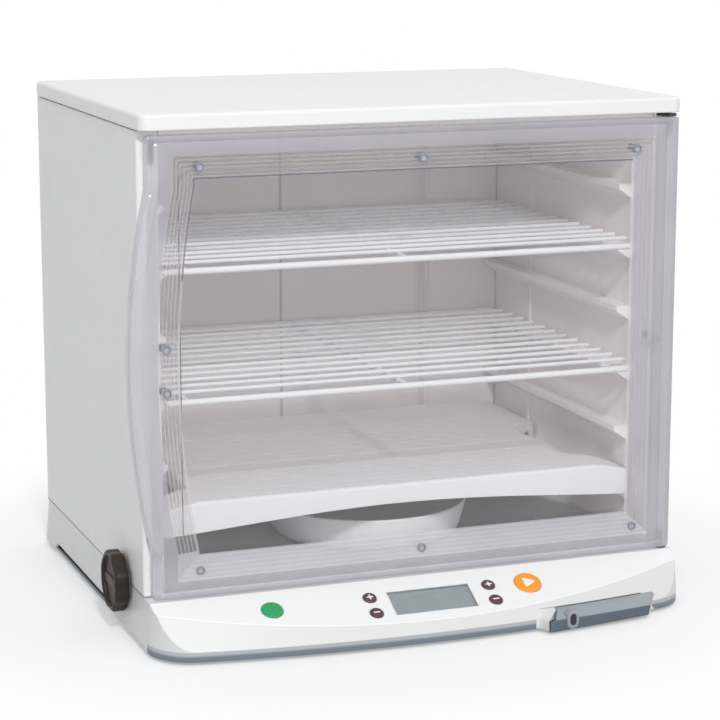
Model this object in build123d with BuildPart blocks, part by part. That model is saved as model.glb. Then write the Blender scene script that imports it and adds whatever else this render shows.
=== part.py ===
"""Folding dough proofer: heated base, folding cabinet walls, clear door, lid, racks and dish.

Units are millimetres. X runs to the right, Y to the back and Z up. The origin is on the
surface that the proofer stands on, midway between its sides and midway between the front
of the drip tray and the rear edge of the base.
"""

from build123d import *
from math import atan, cos, degrees, sin, sqrt
import os

# ================================================================ driving dimensions
# Cabinet walls
cabinet_width = 406.0  # over the outer faces of the side walls
wall_thickness = 15.0  # outer skin, air space and liner together
skin = 2.5
liner = 2.0
base_height = 38.0  # standing surface to the seat of the walls
wall_height = 327.2
wall_edge_round = 2.4
back_wall_gap = 0.6

# Ledges that carry the racks
ledge_first = 78.6  # top of the lowest one above the standing surface
ledge_pitch = 46.3
ledge_count = 6
ledge_reach = 12.0
ledge_tip = 4.0
ledge_root = 12.0
ledge_setback = 44.0  # behind the lid's front edge
ledge_rear_gap = 4.0
rib_setback = 226.0
rib_width = 6.0
rib_stand = 1.6
groove_depth = 0.8
grooves = ((-6.0, 1.2), (-120.0, 12.0), (120.0, 12.0))  # place and width, back liner

# Lid
lid_overhang = 1.0
lid_depth = 312.0
lid_thickness = 11.0
lid_skin = 2.6
lid_step = 1.3  # shadow line between the walls and the lid's edge
lid_corner = 7.0
lid_edge_round = 2.4
lid_clearance = 0.2
lid_liner_thickness = 1.9
lid_ring_depth = 3.0
lid_ring_width = 2.0
lid_ring_gap = 0.6
lid_boss_radius = 4.0
lid_boss_inset = (53.0, 46.0)
screw_radius = 1.5
screw_head_radius = 2.8
screw_head = 1.2
screw_fit = 0.05

# Door
door_setback = 0.8  # door's face behind the lid's front edge
door_thickness = 12.6
door_gap = 0.6  # door's back to the front edge of the walls
door_under_gap = 1.2
door_over_gap = 3.5
door_left_inset = 3.0
door_front_depth = 8.0
door_rear_pane = 2.2
door_rear_inset = 3.0
door_hinge_land = 8.0  # rear panel stops short of the hinge pin
door_steps = 6
step_width = 3.0
step_depth = 0.9
band_left = 19.0
band_right = 21.0
band_top = 14.5
band_bottom = 13.0
grip_low = 71.0
grip_high = 327.0
grip_bow = 14.5
step_bow = 12.0
grip_width = 9.0
grip_stand = 3.0
grip_edge_inset = 0.6
grip_round = 1.2
grip_end_gap = 2.0
pin_radius = 2.0
pin_depth = 13.0
running_clearance = 0.06
bracket_top_thickness = 1.8
bracket_bottom_thickness = 1.0
bracket_nose = 4.5
bracket_tail = 14.0
bracket_clearance = 0.1
door_screw_tip = 4.6  # tip behind the door's face
door_screw_gap = 0.2  # hole past the tip
screws_top = (22.2, 38.5, 34.8)  # below the top edge, from the left edge, from the right edge
screws_bottom = (18.5, 35.2, 32.5)  # above the bottom edge, from the left, from the right
screws_left = (13.0, 15.2)  # from the left edge, half the spread of the pair
screw_right = 19.5
magnet_size = (3.4, 3.0, 16.0)
magnet_inset = (6.5, 11.0)  # from the door's left and top edges
strike_thickness = 1.0

# Base
base_flare = 2.6  # outward lean of the sides
base_wall = 2.6
base_top = 3.0
foot_height = 2.5
foot_radius = 9.0
foot_stub_radius = 3.0
cover_thickness = 2.4
cover_gap = 0.4
rim_height = 6.5
rim_depth = 4.5
bow_depth = 48.0  # rim ahead of the lid's front edge
bow_radius = 1006.0
front_lean = 0.7  # run per unit of rise under the control panel
base_corner = 34.0
rear_corner = 8.0
panel_fall = 0.488  # drop per unit of run of the control panel
arch_height = 6.0
arch_length = 176.0
arch_setback = 185.0
cover_screw_inset = (22.0, 36.0)
screw_boss_radius = 4.0
screw_boss_depth = 8.0
foot_inset = 24.0

# Drip tray
tray_inset = 40.0  # right end inside the outer face of the side wall
tray_width = 86.0
tray_height = 15.0
tray_split = 9.0
tray_stand = 10.0
tray_face_depth = 15.0
tray_mouth_depth = 19.5
tray_length = 66.0
tray_wall = 1.8
tray_box_height = 6.4
tray_gap = 0.5
tray_overlap = 4.0  # box runs this far into the face
tray_box_gap = 0.3
spout_inset = 17.0
spout_width = 9.0
spout_height = 11.0
spout_rise = 1.0
spout_slot = 4.6
spout_slot_height = 8.0
spout_slot_lift = 0.5
spout_stand = 2.0

# Lock knobs
knob_radius = 22.5
knob_thickness = 10.6
knob_gap = 2.4
knob_setback = 64.5
knob_flutes = 12
knob_flute_radius = 2.4
knob_dish_inset = 4.0
knob_grip_width = 7.0
knob_grip_depth = 3.0
knob_grip_gap = 0.8
shaft_radius = 4.0
shaft_square = 4.0
ear_radius = 12.0
ear_thickness = 6.0
cam_length = 18.8
cam_width = 8.0
cam_thickness = 4.0
cam_gap = 0.5
keeper_radius = 10.0
keeper_neck = 9.0
keeper_drop = 12.0
keeper_width = 28.0
keeper_top = 14.0

# Fold hinges
lug_width = 6.0
lug_length = 7.0
lug_height = 9.5
lug_gap = 1.0
fold_pin_radius = 1.8
fold_pin_length = 18.0
fold_pin_rise = 5.0
fold_boss = 6.0
side_lug_inset = (26.0, 30.0)  # from the front and rear edges of the wall
back_lug_inset = 83.0

# Racks
rack_side_gap = 4.0
rack_setback = 24.0
rack_rear_gap = 6.0
rod_radius = 2.4
cross_radius = 2.0
wire_radius = 1.5
wire_sink = 0.5
first_wire = 32.0
wire_pitch = 22.0
wire_count = 11
side_rod_inset = 19.0
rack_ledges = {"rack_lower": 2, "rack_upper": 4}

# Board over the heater
board_setback = 33.0
board_side_gap = 3.0
board_rear_gap = 16.0
board_thickness = 2.6
board_rise = 19.4  # over the lowest ledge
board_drop = 4.0
board_arch = 6.5
board_arch_insets = (88.8, 44.4)  # ends of the arch from the left and right edges
board_ledge_gap = 0.5
notch_depth = 34.0
notch_front = 31.0
notch_length = 128.0
notch_slope = 15.0
notch_skirt = 8.0
board_round = 1.0

# Dish
dish_radius = 85.0
dish_foot_radius = 66.0
dish_height = 26.0
dish_wall = 2.6
dish_setback = 130.0
dish_offset = 6.0
dish_round = 9.0

# Heater and electronics
plate_thickness = 2.0
plate_gap = 1.5
plate_corner = 8.0
opening_inset = 20.0
heater_thickness = 1.4
heater_gap = 4.0
heater_strip = 12.0
heater_pitch = 24.0
insulation_thickness = 5.0
sensor_radius = 3.0
sensor_height = 4.0
sensor_at = (-60.0, 30.0)
fuse_radius = 2.2
fuse_length = 14.0
fuse_at = (60.0, 30.0)
power_board_size = (110.0, 60.0, 1.6)
power_board_inset = (113.0, 82.0)  # middle from the right wall and from the rear
power_board_rise = 4.0
power_post_spread = (49.0, 24.0)
post_radius = 3.0
transformer_size = (34.0, 28.0, 16.0)
transformer_at = (28.0, 6.0)  # from the middle of the board
capacitor_radius = 5.0
capacitor_height = 12.0
capacitor_at = (-12.0, -14.0)
filter_size = (18.0, 14.0)
filter_at = (-36.0, 4.0)
inlet_size = (25.0, 16.0, 18.0)
inlet_inset = 53.0
inlet_z = 20.0
inlet_wall = 2.0
inlet_pin_radius = 1.3
inlet_pin_pitch = 8.6
inlet_mouth = 6.0  # pins start this far inside

# Control panel: place along X, run down the slope in plan, radius
button_clearance = 0.3
button_stand = 0.9
button_round = 0.5
button_flange = 1.2
button_flange_gap = 0.1
button_travel = 1.0
stem_radius = 1.5
stem_length = 1.5
switch_size = (6.0, 6.0)
switch_cap = 1.0
switch_gap = 0.1
control_board_depth = 10.0
control_board_thickness = 1.6
control_board_parts = ((-135.0, 64.0, 8.0, 36.0), (64.0, 94.0, 8.0, 25.0))  # left, right, runs
buttons = {
    "power_button": (-119.0, 17.6, 7.8),
    "temperature_up_button": (-45.5, 16.3, 4.9),
    "temperature_down_button": (-45.5, 30.6, 4.9),
    "time_up_button": (46.5, 16.3, 4.9),
    "time_down_button": (46.5, 30.6, 4.9),
    "start_button": (77.0, 18.4, 10.0),
}
display_width = 63.0
display_run = 21.6
display_setback = 12.6
display_lip = 1.0
display_seat = 2.0
window_thickness = 1.2
module_thickness = 3.8
module_post = 3.0

# ================================================================ derived places
half_width = cabinet_width / 2
wall_inner = half_width - wall_thickness
bow_to_lid = bow_radius - bow_depth
tray_right = half_width - tray_inset
tray_left = tray_right - tray_width
tray_middle = (tray_left + tray_right) / 2
spout_at = tray_left + spout_inset
tray_radius = bow_radius + tray_stand
front_reach = sqrt(tray_radius**2 - tray_left**2) - bow_to_lid
rear_reach = lid_depth - lid_overhang + base_flare
lid_front = (front_reach - rear_reach) / 2
lid_rear = lid_front + lid_depth
wall_rear = lid_rear - lid_overhang
bow_centre = lid_front + bow_to_lid
wall_top = base_height + wall_height
lid_bottom = wall_top + lid_step
lid_top = lid_bottom + lid_thickness
door_face = lid_front + door_setback
door_back = door_face + door_thickness
wall_front = door_back + door_gap
cabin_rear = wall_rear - wall_thickness
door_bottom = base_height + door_under_gap
door_top = lid_bottom - door_over_gap
door_left = -half_width + door_left_inset
door_right = half_width + lid_overhang
hinge_x = door_right - door_thickness / 2
hinge_y = door_face + door_thickness / 2
door_middle = ((door_left + door_right) / 2, (door_bottom + door_top) / 2)
door_screws_at = [
    (door_left + screws_top[1], door_top - screws_top[0]),
    (door_middle[0], door_top - screws_top[0]),
    (door_right - screws_top[2], door_top - screws_top[0]),
    (door_left + screws_bottom[1], door_bottom + screws_bottom[0]),
    (door_middle[0], door_bottom + screws_bottom[0]),
    (door_right - screws_bottom[2], door_bottom + screws_bottom[0]),
    (door_left + screws_left[0], door_middle[1] + screws_left[1]),
    (door_left + screws_left[0], door_middle[1] - screws_left[1]),
    (door_right - screw_right, door_middle[1]),
]
magnet_at = (door_left + magnet_inset[0], door_top - magnet_inset[1])
shell_bottom = foot_height + cover_thickness
rim_top = foot_height + rim_height
slope = atan(panel_fall)
floor_level = base_height + plate_thickness
inlet_at = half_width - inlet_inset
power_board_at = (half_width - power_board_inset[0], wall_rear - power_board_inset[1])
knob_y = lid_front + knob_setback
knob_z = base_height
room = 2 * cabinet_width  # reach of cuts that pass right through

cover_screws_at = [
    (x, y)
    for x in (-half_width + cover_screw_inset[0], half_width - cover_screw_inset[0])
    for y in (lid_front + cover_screw_inset[1], wall_rear - cover_screw_inset[1])
]

made = []


def finish(name: str, builder: BuildPart) -> None:
    """Names a piece and keeps it for writing."""
    builder.part.label = name
    made.append(builder.part)


def panel_plane(x: float, run: float) -> Plane:
    """Plane on the control panel whose X is the proofer's X and whose Z stands off it."""
    origin = (x, lid_front - run, base_height - panel_fall * run)
    return Plane(origin=origin, x_dir=(1, 0, 0), z_dir=(0, -sin(slope), cos(slope)))


def facing_side(side: int, x: float, y: float, z: float) -> Plane:
    """Plane across X whose X axis is the proofer's Y, Y axis is Z, and Z axis is outward."""
    return Plane(origin=(side * x, y, z), x_dir=(0, side, 0), z_dir=(side, 0, 0))


# ================================================================ base shell
def base_outline(inset: float) -> Sketch:
    """Plan of the base at its bottom, drawn in by the inset: bowed front, round corners."""
    half = half_width + base_flare - inset
    rear = wall_rear + base_flare - inset
    radius = bow_radius - inset
    side_y = bow_centre - sqrt(radius**2 - half**2)
    with BuildSketch() as plan:
        with BuildLine():
            Polyline((half, side_y), (half, rear), (-half, rear), (-half, side_y))
            ThreePointArc((-half, side_y), (0, bow_centre - radius), (half, side_y))
        make_face()
        fillet(plan.vertices().group_by(Axis.Y)[0], base_corner - inset)
        fillet(plan.vertices().group_by(Axis.Y)[-1], rear_corner - inset)
    return plan.sketch


def front_cone(inset: float) -> Part:
    """Room behind the leaning front face, round the centre of the bow."""
    low = shell_bottom - 1
    high = base_height + 1
    low_radius = bow_radius - inset + front_lean * (rim_top - low)
    high_radius = bow_radius - inset - front_lean * (high - rim_top)
    rear_looking = Plane(origin=(0, bow_centre, 0), x_dir=(0, 1, 0), z_dir=(1, 0, 0))
    with BuildPart() as cone:
        with BuildSketch(rear_looking):
            Polygon((0, low), (low_radius, low), (high_radius, high), (0, high), align=None)
        revolve(axis=Axis((0, bow_centre, 0), (0, 0, 1)))
    return cone.part


def panel_wedge(lowered: float) -> Part:
    """Room above the sloping control panel, whose top edge runs under the door."""
    reach = 2 * bow_depth
    top = base_height - lowered
    with BuildPart() as wedge:
        with BuildSketch(Plane.YZ.offset(-cabinet_width)):
            Polygon(
                (lid_front, top),
                (lid_front, top + reach),
                (lid_front - reach, top + reach),
                (lid_front - reach, top - panel_fall * reach),
                align=None,
            )
        extrude(amount=room)
    return wedge.part


flare_angle = degrees(atan(base_flare / (base_height - shell_bottom)))
lean_wall = base_wall * sqrt(1 + front_lean**2)
panel_wall = base_wall / cos(slope)
opening_half = wall_inner - opening_inset
opening_front = wall_front + opening_inset
opening_rear = cabin_rear - opening_inset
opening_middle = (opening_front + opening_rear) / 2
opening_length = opening_rear - opening_front
lug_x = half_width - skin - lug_gap - lug_width / 2
side_lug_y = (wall_front + side_lug_inset[0], wall_rear - side_lug_inset[1])
back_lug_at = half_width - back_lug_inset
fold_bore = 2 * fold_pin_length  # cut through both bosses
back_lug_y = wall_rear - skin - lug_gap - lug_width / 2
fold_pin_z = base_height + fold_pin_rise
display_length = display_run / cos(slope)
display_plane = panel_plane(0, display_setback + display_run / 2)
keeper_outer = half_width - ear_thickness - cam_gap
keeper_inner = keeper_outer - cam_thickness

with BuildPart() as base_void:
    with BuildSketch(Plane.XY.offset(shell_bottom)):
        add(base_outline(base_wall))
    extrude(amount=base_height - base_top - shell_bottom, taper=flare_angle)
    add(front_cone(lean_wall), mode=Mode.INTERSECT)
    add(panel_wedge(panel_wall), mode=Mode.SUBTRACT)

with BuildPart() as base_shell:
    with BuildSketch(Plane.XY.offset(shell_bottom)):
        add(base_outline(0))
    extrude(amount=base_height - shell_bottom, taper=flare_angle)
    add(front_cone(0), mode=Mode.INTERSECT)
    add(panel_wedge(0), mode=Mode.SUBTRACT)
    add(base_void.part, mode=Mode.SUBTRACT)
    # Opening under the heater plate
    with BuildSketch(Plane.XY.offset(base_height)):
        with Locations((0, opening_middle)):
            RectangleRounded(2 * opening_half, opening_length, radius=plate_corner)
    extrude(amount=-2 * base_top, mode=Mode.SUBTRACT)
    # Hand recess under each side
    arch_low = lid_front + arch_setback - arch_length / 2
    arch_high = lid_front + arch_setback + arch_length / 2
    with BuildSketch(Plane.YZ.offset(-cabinet_width)):
        Polygon(
            (arch_low - arch_height, shell_bottom - 1),
            (arch_low + arch_height, shell_bottom + arch_height),
            (arch_high - arch_height, shell_bottom + arch_height),
            (arch_high + arch_height, shell_bottom - 1),
            align=None,
        )
    extrude(amount=room, mode=Mode.SUBTRACT)
    # Rebate for the rim strip
    with BuildSketch(Plane.XY.offset(shell_bottom - 1)):
        with Locations((0, lid_front - bow_depth)):
            Rectangle(room, 2 * bow_depth)
    extrude(amount=rim_top - shell_bottom + 1, mode=Mode.SUBTRACT)
    # Mouth of the drip tray
    with BuildSketch(Plane.XY.offset(shell_bottom - 1)):
        with Locations((tray_middle, lid_front - bow_depth)):
            Rectangle(tray_width + 2 * tray_gap, 2 * (bow_depth - tray_stand))
    extrude(amount=tray_height + tray_gap - shell_bottom + 1, mode=Mode.SUBTRACT)
    for side in (-1, 1):
        # Ear that the knob's shaft turns in
        with BuildSketch(facing_side(side, half_width, knob_y, knob_z)):
            Circle(ear_radius)
            with Locations((0, -base_height / 4)):
                Rectangle(2 * ear_radius, base_height / 2)
        extrude(amount=-ear_thickness)
        with BuildSketch(facing_side(side, half_width + base_flare, knob_y, knob_z)):
            Circle(shaft_radius + running_clearance)
        extrude(amount=-(base_flare + ear_thickness), mode=Mode.SUBTRACT)
        # Pocket for the keeper of the wall
        with BuildSketch(Plane.XY.offset(base_height)):
            with Locations((side * (keeper_inner + keeper_outer) / 2, knob_y)):
                Rectangle(cam_thickness + 2 * cam_gap, keeper_width + 2 * cam_gap)
        extrude(amount=-2 * base_top, mode=Mode.SUBTRACT)
        # Lugs of the fold hinges
        with BuildSketch(Plane.XY.offset(base_height)):
            with Locations(*[(side * lug_x, place) for place in side_lug_y]):
                Rectangle(lug_width, lug_length)
            with Locations((side * back_lug_at, back_lug_y)):
                Rectangle(lug_length, lug_width)
        extrude(amount=lug_height)
        for place in side_lug_y:
            with Locations(Plane.XZ.offset(-place) * Pos(side * lug_x, fold_pin_z, 0)):
                Cylinder(fold_pin_radius + running_clearance, lug_length, mode=Mode.SUBTRACT)
        with Locations(Plane.YZ.offset(side * back_lug_at) * Pos(back_lug_y, fold_pin_z, 0)):
            Cylinder(fold_pin_radius + running_clearance, lug_length, mode=Mode.SUBTRACT)
    # Holes for the buttons
    for x, run, radius in buttons.values():
        with BuildSketch(panel_plane(x, run)):
            Circle(radius + button_clearance)
        extrude(amount=2 * base_wall, both=True, mode=Mode.SUBTRACT)
    # Opening for the display, with a seat for its window behind the lip
    with BuildSketch(display_plane):
        Rectangle(display_width, display_length)
    extrude(amount=2 * base_wall, both=True, mode=Mode.SUBTRACT)
    with BuildSketch(display_plane.offset(-display_lip)):
        Rectangle(display_width + 2 * display_seat, display_length + 2 * display_seat)
    extrude(amount=-2 * base_wall, mode=Mode.SUBTRACT)
    # Bosses of the cover's screws
    with BuildSketch(Plane.XY.offset(shell_bottom)):
        with Locations(*cover_screws_at):
            Circle(screw_boss_radius)
    extrude(amount=base_height - base_top - shell_bottom)
    with BuildSketch(Plane.XY.offset(shell_bottom)):
        with Locations(*cover_screws_at):
            Circle(screw_radius + screw_fit)
    extrude(amount=screw_boss_depth, mode=Mode.SUBTRACT)
    # Hole for the power inlet
    with BuildSketch(Plane.XZ.offset(-wall_rear - 2 * base_flare)):
        with Locations((inlet_at, inlet_z)):
            Rectangle(inlet_size[0], inlet_size[1])
    extrude(amount=2 * base_wall + 2 * base_flare, mode=Mode.SUBTRACT)
finish("base_shell", base_shell)

# ================================================================ bottom cover, feet, screws
feet_at = [
    (x, y)
    for x in (-half_width + foot_inset, half_width - foot_inset)
    for y in (lid_front + foot_inset / 2, wall_rear - foot_inset / 2)
]
power_posts_at = [
    (power_board_at[0] + i * power_post_spread[0], power_board_at[1] + j * power_post_spread[1])
    for i in (-1, 1)
    for j in (-1, 1)
]

with BuildPart() as bottom_cover:
    with BuildSketch(Plane.XY.offset(foot_height)):
        add(base_outline(base_wall + cover_gap))
    extrude(amount=cover_thickness)
    with BuildSketch(Plane.XY.offset(foot_height)):
        add(base_outline(cover_gap))
        add(base_outline(rim_depth), mode=Mode.SUBTRACT)
        with Locations((0, lid_front + lid_depth)):
            Rectangle(room, 2 * lid_depth, mode=Mode.SUBTRACT)
    extrude(amount=rim_height)
    # Room for the face of the drip tray
    with BuildSketch(Plane.XY.offset(foot_height - 1)):
        with Locations((tray_middle, lid_front - bow_depth)):
            Rectangle(tray_width + 2 * tray_gap, 2 * tray_mouth_depth)
    extrude(amount=rim_height + 2, mode=Mode.SUBTRACT)
    # Sockets of the feet and holes of the screws
    with BuildSketch(Plane.XY.offset(foot_height)):
        with Locations(*feet_at):
            Circle(foot_stub_radius)
        with Locations(*cover_screws_at):
            Circle(screw_radius + screw_fit)
    extrude(amount=cover_thickness, mode=Mode.SUBTRACT)
    with BuildSketch(Plane.XY.offset(foot_height)):
        with Locations(*cover_screws_at):
            Circle(screw_head_radius + screw_fit)
    extrude(amount=screw_head, mode=Mode.SUBTRACT)
    # Posts of the power board
    with BuildSketch(Plane.XY.offset(shell_bottom)):
        with Locations(*power_posts_at):
            Circle(post_radius)
    extrude(amount=power_board_rise)
finish("bottom_cover", bottom_cover)

with BuildPart() as rubber_feet:
    with BuildSketch():
        with Locations(*feet_at):
            Circle(foot_radius)
    extrude(amount=foot_height)
    fillet(rubber_feet.edges().group_by(Axis.Z)[0], foot_height / 3)
    with BuildSketch(Plane.XY.offset(foot_height)):
        with Locations(*feet_at):
            Circle(foot_stub_radius - screw_fit)
    extrude(amount=cover_thickness)
finish("rubber_feet", rubber_feet)

with BuildPart() as cover_screws:
    with BuildSketch(Plane.XY.offset(foot_height)):
        with Locations(*cover_screws_at):
            Circle(screw_head_radius)
    extrude(amount=screw_head)
    with BuildSketch(Plane.XY.offset(foot_height + screw_head)):
        with Locations(*cover_screws_at):
            Circle(screw_radius)
    extrude(amount=cover_thickness - screw_head + screw_boss_depth - 1)
finish("cover_screws", cover_screws)

# ================================================================ drip tray
tray_box_low = shell_bottom + tray_box_gap
tray_front = lid_front - bow_depth - tray_stand
tray_back = tray_front + tray_length
tray_box_front = tray_front + tray_face_depth + tray_stand / 2 - tray_overlap
tray_box_length = tray_back - tray_box_front
tray_box_middle = (tray_back + tray_box_front) / 2

with BuildPart() as drip_tray:
    # Face: upright below, sloping back above, following the bow
    front_looking = Plane(origin=(0, bow_centre, 0), x_dir=(0, -1, 0), z_dir=(-1, 0, 0))
    with BuildSketch(front_looking):
        Polygon(
            (tray_radius, foot_height),
            (tray_radius, tray_split),
            (tray_radius - tray_stand, tray_height),
            (tray_radius - tray_face_depth, tray_height),
            (tray_radius - tray_face_depth, foot_height),
            align=None,
        )
    revolve(axis=Axis((0, bow_centre, 0), (0, 0, 1)), revolution_arc=20)
    with BuildSketch(Plane.XY):
        with Locations((tray_middle, lid_front - bow_depth)):
            Rectangle(tray_width, 4 * bow_depth)
    extrude(amount=base_height, mode=Mode.INTERSECT)
    # Box that runs back under the control panel
    with BuildSketch(Plane.XY.offset(tray_box_low)):
        with Locations((tray_middle, tray_box_middle)):
            Rectangle(tray_width - 2 * tray_gap, tray_box_length)
    extrude(amount=tray_box_height)
    # Hollow that catches the water
    with BuildSketch(Plane.XY.offset(tray_box_low + tray_wall)):
        with Locations((tray_middle, tray_box_middle)):
            Rectangle(
                tray_width - 2 * tray_gap - 2 * tray_wall,
                tray_box_length - 2 * tray_wall,
            )
    extrude(amount=base_height, mode=Mode.SUBTRACT)
    # Boss with a slot, for a finger nail
    spout_y = bow_centre - sqrt(tray_radius**2 - spout_at**2)
    spout_z = foot_height + spout_width / 2 + spout_rise
    with BuildSketch(Plane.XZ.offset(-spout_y - spout_stand)):
        with Locations((spout_at, spout_z)):
            SlotOverall(spout_height, spout_width, rotation=90)
    extrude(amount=-3 * spout_stand)
    with BuildSketch(Plane.XZ.offset(-spout_y - spout_stand)):
        with Locations((spout_at, spout_z + spout_slot_lift)):
            SlotOverall(spout_slot_height, spout_slot, rotation=90)
    extrude(amount=-2.5 * spout_stand, mode=Mode.SUBTRACT)
finish("drip_tray", drip_tray)

# ================================================================ heater
plate_half = wall_inner - plate_gap
plate_front = wall_front + plate_gap
plate_rear = cabin_rear - plate_gap
heater_rows = int((opening_length - 2 * heater_gap) / heater_pitch)

with BuildPart() as heater_plate:
    with BuildSketch(Plane.XY.offset(base_height)):
        with Locations((0, (plate_front + plate_rear) / 2)):
            RectangleRounded(2 * plate_half, plate_rear - plate_front, radius=plate_corner)
    extrude(amount=plate_thickness)
    fillet(heater_plate.edges().group_by(Axis.Z)[-1], plate_thickness / 3)
finish("heater_plate", heater_plate)

with BuildPart() as heater_element:
    with BuildSketch(Plane.XY.offset(base_height - heater_thickness)):
        for row in range(heater_rows):
            row_y = opening_front + heater_gap + heater_strip / 2 + row * heater_pitch
            with Locations((0, row_y)):
                Rectangle(2 * (opening_half - heater_gap), heater_strip)
            if row + 1 < heater_rows:
                end_x = opening_half - heater_gap - heater_strip / 2
                with Locations((end_x if row % 2 else -end_x, row_y + heater_pitch / 2)):
                    Rectangle(heater_strip, heater_pitch)
    extrude(amount=heater_thickness)
finish("heater_element", heater_element)

insulation_top = base_height - heater_thickness
insulation_low = insulation_top - insulation_thickness
with BuildPart() as insulation_mat:
    with BuildSketch(Plane.XY.offset(insulation_low)):
        with Locations((0, opening_middle)):
            Rectangle(2 * (opening_half - heater_gap), opening_length - 2 * heater_gap)
    extrude(amount=insulation_thickness)
    with BuildSketch(Plane.XY.offset(insulation_low)):
        with Locations(sensor_at):
            Circle(sensor_radius + screw_fit)
        with Locations(fuse_at):
            Rectangle(fuse_length + 2 * screw_fit, 2 * fuse_radius + 2 * screw_fit)
    extrude(amount=insulation_thickness, mode=Mode.SUBTRACT)
finish("insulation_mat", insulation_mat)

with BuildPart() as temperature_sensor:
    with BuildSketch(Plane.XY.offset(insulation_top)):
        with Locations(sensor_at):
            Circle(sensor_radius)
    extrude(amount=-sensor_height)
    fillet(temperature_sensor.edges().group_by(Axis.Z)[0], sensor_radius / 3)
finish("temperature_sensor", temperature_sensor)

with BuildPart() as thermal_fuse:
    with Locations(Plane.YZ.offset(fuse_at[0]) * Pos(fuse_at[1], insulation_top - fuse_radius, 0)):
        Cylinder(fuse_radius, fuse_length)
finish("thermal_fuse", thermal_fuse)

# ================================================================ electronics
stem_low = base_wall + button_flange_gap + button_flange + stem_length
board_low = control_board_depth + control_board_thickness
switch_height = control_board_depth - stem_low - button_travel - switch_gap

with BuildPart() as control_board:
    for left, right, near, far in control_board_parts:
        with BuildSketch(panel_plane((left + right) / 2, 0).offset(-board_low)):
            near_y = near / cos(slope)
            far_y = far / cos(slope)
            with Locations((0, -(near_y + far_y) / 2)):
                Rectangle(right - left, far_y - near_y)
        extrude(amount=control_board_thickness)
finish("control_board", control_board)

with BuildPart() as key_switches:
    for x, run, radius in buttons.values():
        with BuildSketch(panel_plane(x, run).offset(-control_board_depth)):
            Rectangle(*switch_size)
        extrude(amount=switch_height - switch_cap)
        with BuildSketch(panel_plane(x, run).offset(-control_board_depth)):
            Circle(stem_radius)
        extrude(amount=switch_height)
finish("key_switches", key_switches)

with BuildPart() as display_window:
    with BuildSketch(display_plane.offset(-display_lip)):
        Rectangle(
            display_width + 2 * display_seat - 2 * screw_fit,
            display_length + 2 * display_seat - 2 * screw_fit,
        )
    extrude(amount=-window_thickness)
finish("display_window", display_window)

with BuildPart() as display_module:
    module_top = display_lip + window_thickness
    with BuildSketch(display_plane.offset(-module_top)):
        Rectangle(
            display_width + 2 * display_seat - 4 * screw_fit,
            display_length + 2 * display_seat - 4 * screw_fit,
        )
    extrude(amount=-module_thickness)
    with BuildSketch(display_plane.offset(-module_top - module_thickness)):
        with GridLocations(display_width - module_post, display_length / 2, 2, 2):
            Rectangle(module_post, module_post)
    extrude(amount=-(control_board_depth - module_top - module_thickness))
finish("display_module", display_module)

off_panel = Axis((0, 0, 0), (0, -sin(slope), cos(slope)))
for name, (x, run, radius) in buttons.items():
    flange_low = base_wall + button_flange_gap + button_flange
    with BuildPart() as button:
        with BuildSketch(panel_plane(x, run).offset(-flange_low)):
            Circle(radius)
        extrude(amount=flange_low + button_stand)
        fillet(button.faces().sort_by(off_panel)[-1].edges(), button_round)
        with BuildSketch(panel_plane(x, run).offset(-flange_low)):
            Circle(radius + button_flange)
        extrude(amount=button_flange)
        with BuildSketch(panel_plane(x, run).offset(-flange_low)):
            Circle(stem_radius)
        extrude(amount=-stem_length)
    finish(name, button)

with BuildPart() as power_board:
    power_low = shell_bottom + power_board_rise
    power_top = power_low + power_board_size[2]
    with BuildSketch(Plane.XY.offset(power_low)):
        with Locations(power_board_at):
            Rectangle(power_board_size[0], power_board_size[1])
    extrude(amount=power_board_size[2])
    with BuildSketch(Plane.XY.offset(power_top)):
        with Locations((power_board_at[0] + transformer_at[0], power_board_at[1] + transformer_at[1])):
            Rectangle(transformer_size[0], transformer_size[1])
    extrude(amount=transformer_size[2])
    with BuildSketch(Plane.XY.offset(power_top)):
        with Locations((power_board_at[0] + capacitor_at[0], power_board_at[1] + capacitor_at[1])):
            Circle(capacitor_radius)
        with Locations((power_board_at[0] + filter_at[0], power_board_at[1] + filter_at[1])):
            Rectangle(filter_size[0], filter_size[1])
    extrude(amount=capacitor_height)
finish("power_board", power_board)

inlet_face = wall_rear + base_flare / 2
with BuildPart() as power_inlet:
    with BuildSketch(Plane.XZ.offset(-inlet_face)):
        with Locations((inlet_at, inlet_z)):
            Rectangle(inlet_size[0] - 2 * screw_fit, inlet_size[1] - 2 * screw_fit)
    extrude(amount=inlet_size[2])
    with BuildSketch(Plane.XZ.offset(-inlet_face)):
        with Locations((inlet_at, inlet_z)):
            SlotOverall(inlet_size[0] - 2 * inlet_wall, inlet_size[1] - 4 * inlet_wall)
    extrude(amount=inlet_size[2] - inlet_wall, mode=Mode.SUBTRACT)
    with BuildSketch(Plane.XZ.offset(-inlet_face)):
        with Locations((inlet_at, inlet_z)):
            with GridLocations(inlet_pin_pitch, 1, 2, 1):
                Circle(inlet_pin_radius)
    extrude(amount=inlet_size[2], mode=Mode.SUBTRACT)
finish("power_inlet", power_inlet)

with BuildPart() as inlet_pins:
    with BuildSketch(Plane.XZ.offset(-inlet_face + inlet_mouth)):
        with Locations((inlet_at, inlet_z)):
            with GridLocations(inlet_pin_pitch, 1, 2, 1):
                Circle(inlet_pin_radius - screw_fit)
    extrude(amount=inlet_size[2] - inlet_mouth + inlet_wall)
finish("inlet_pins", inlet_pins)

# ================================================================ side walls
flange = skin
side_length = wall_rear - wall_front
side_middle = (wall_rear + wall_front) / 2
shell_depth = wall_thickness - liner
back_half = wall_inner - back_wall_gap
back_width = 2 * back_half
ledge_front = lid_front + ledge_setback
ledge_tops = [ledge_first + step * ledge_pitch for step in range(ledge_count)]


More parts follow.
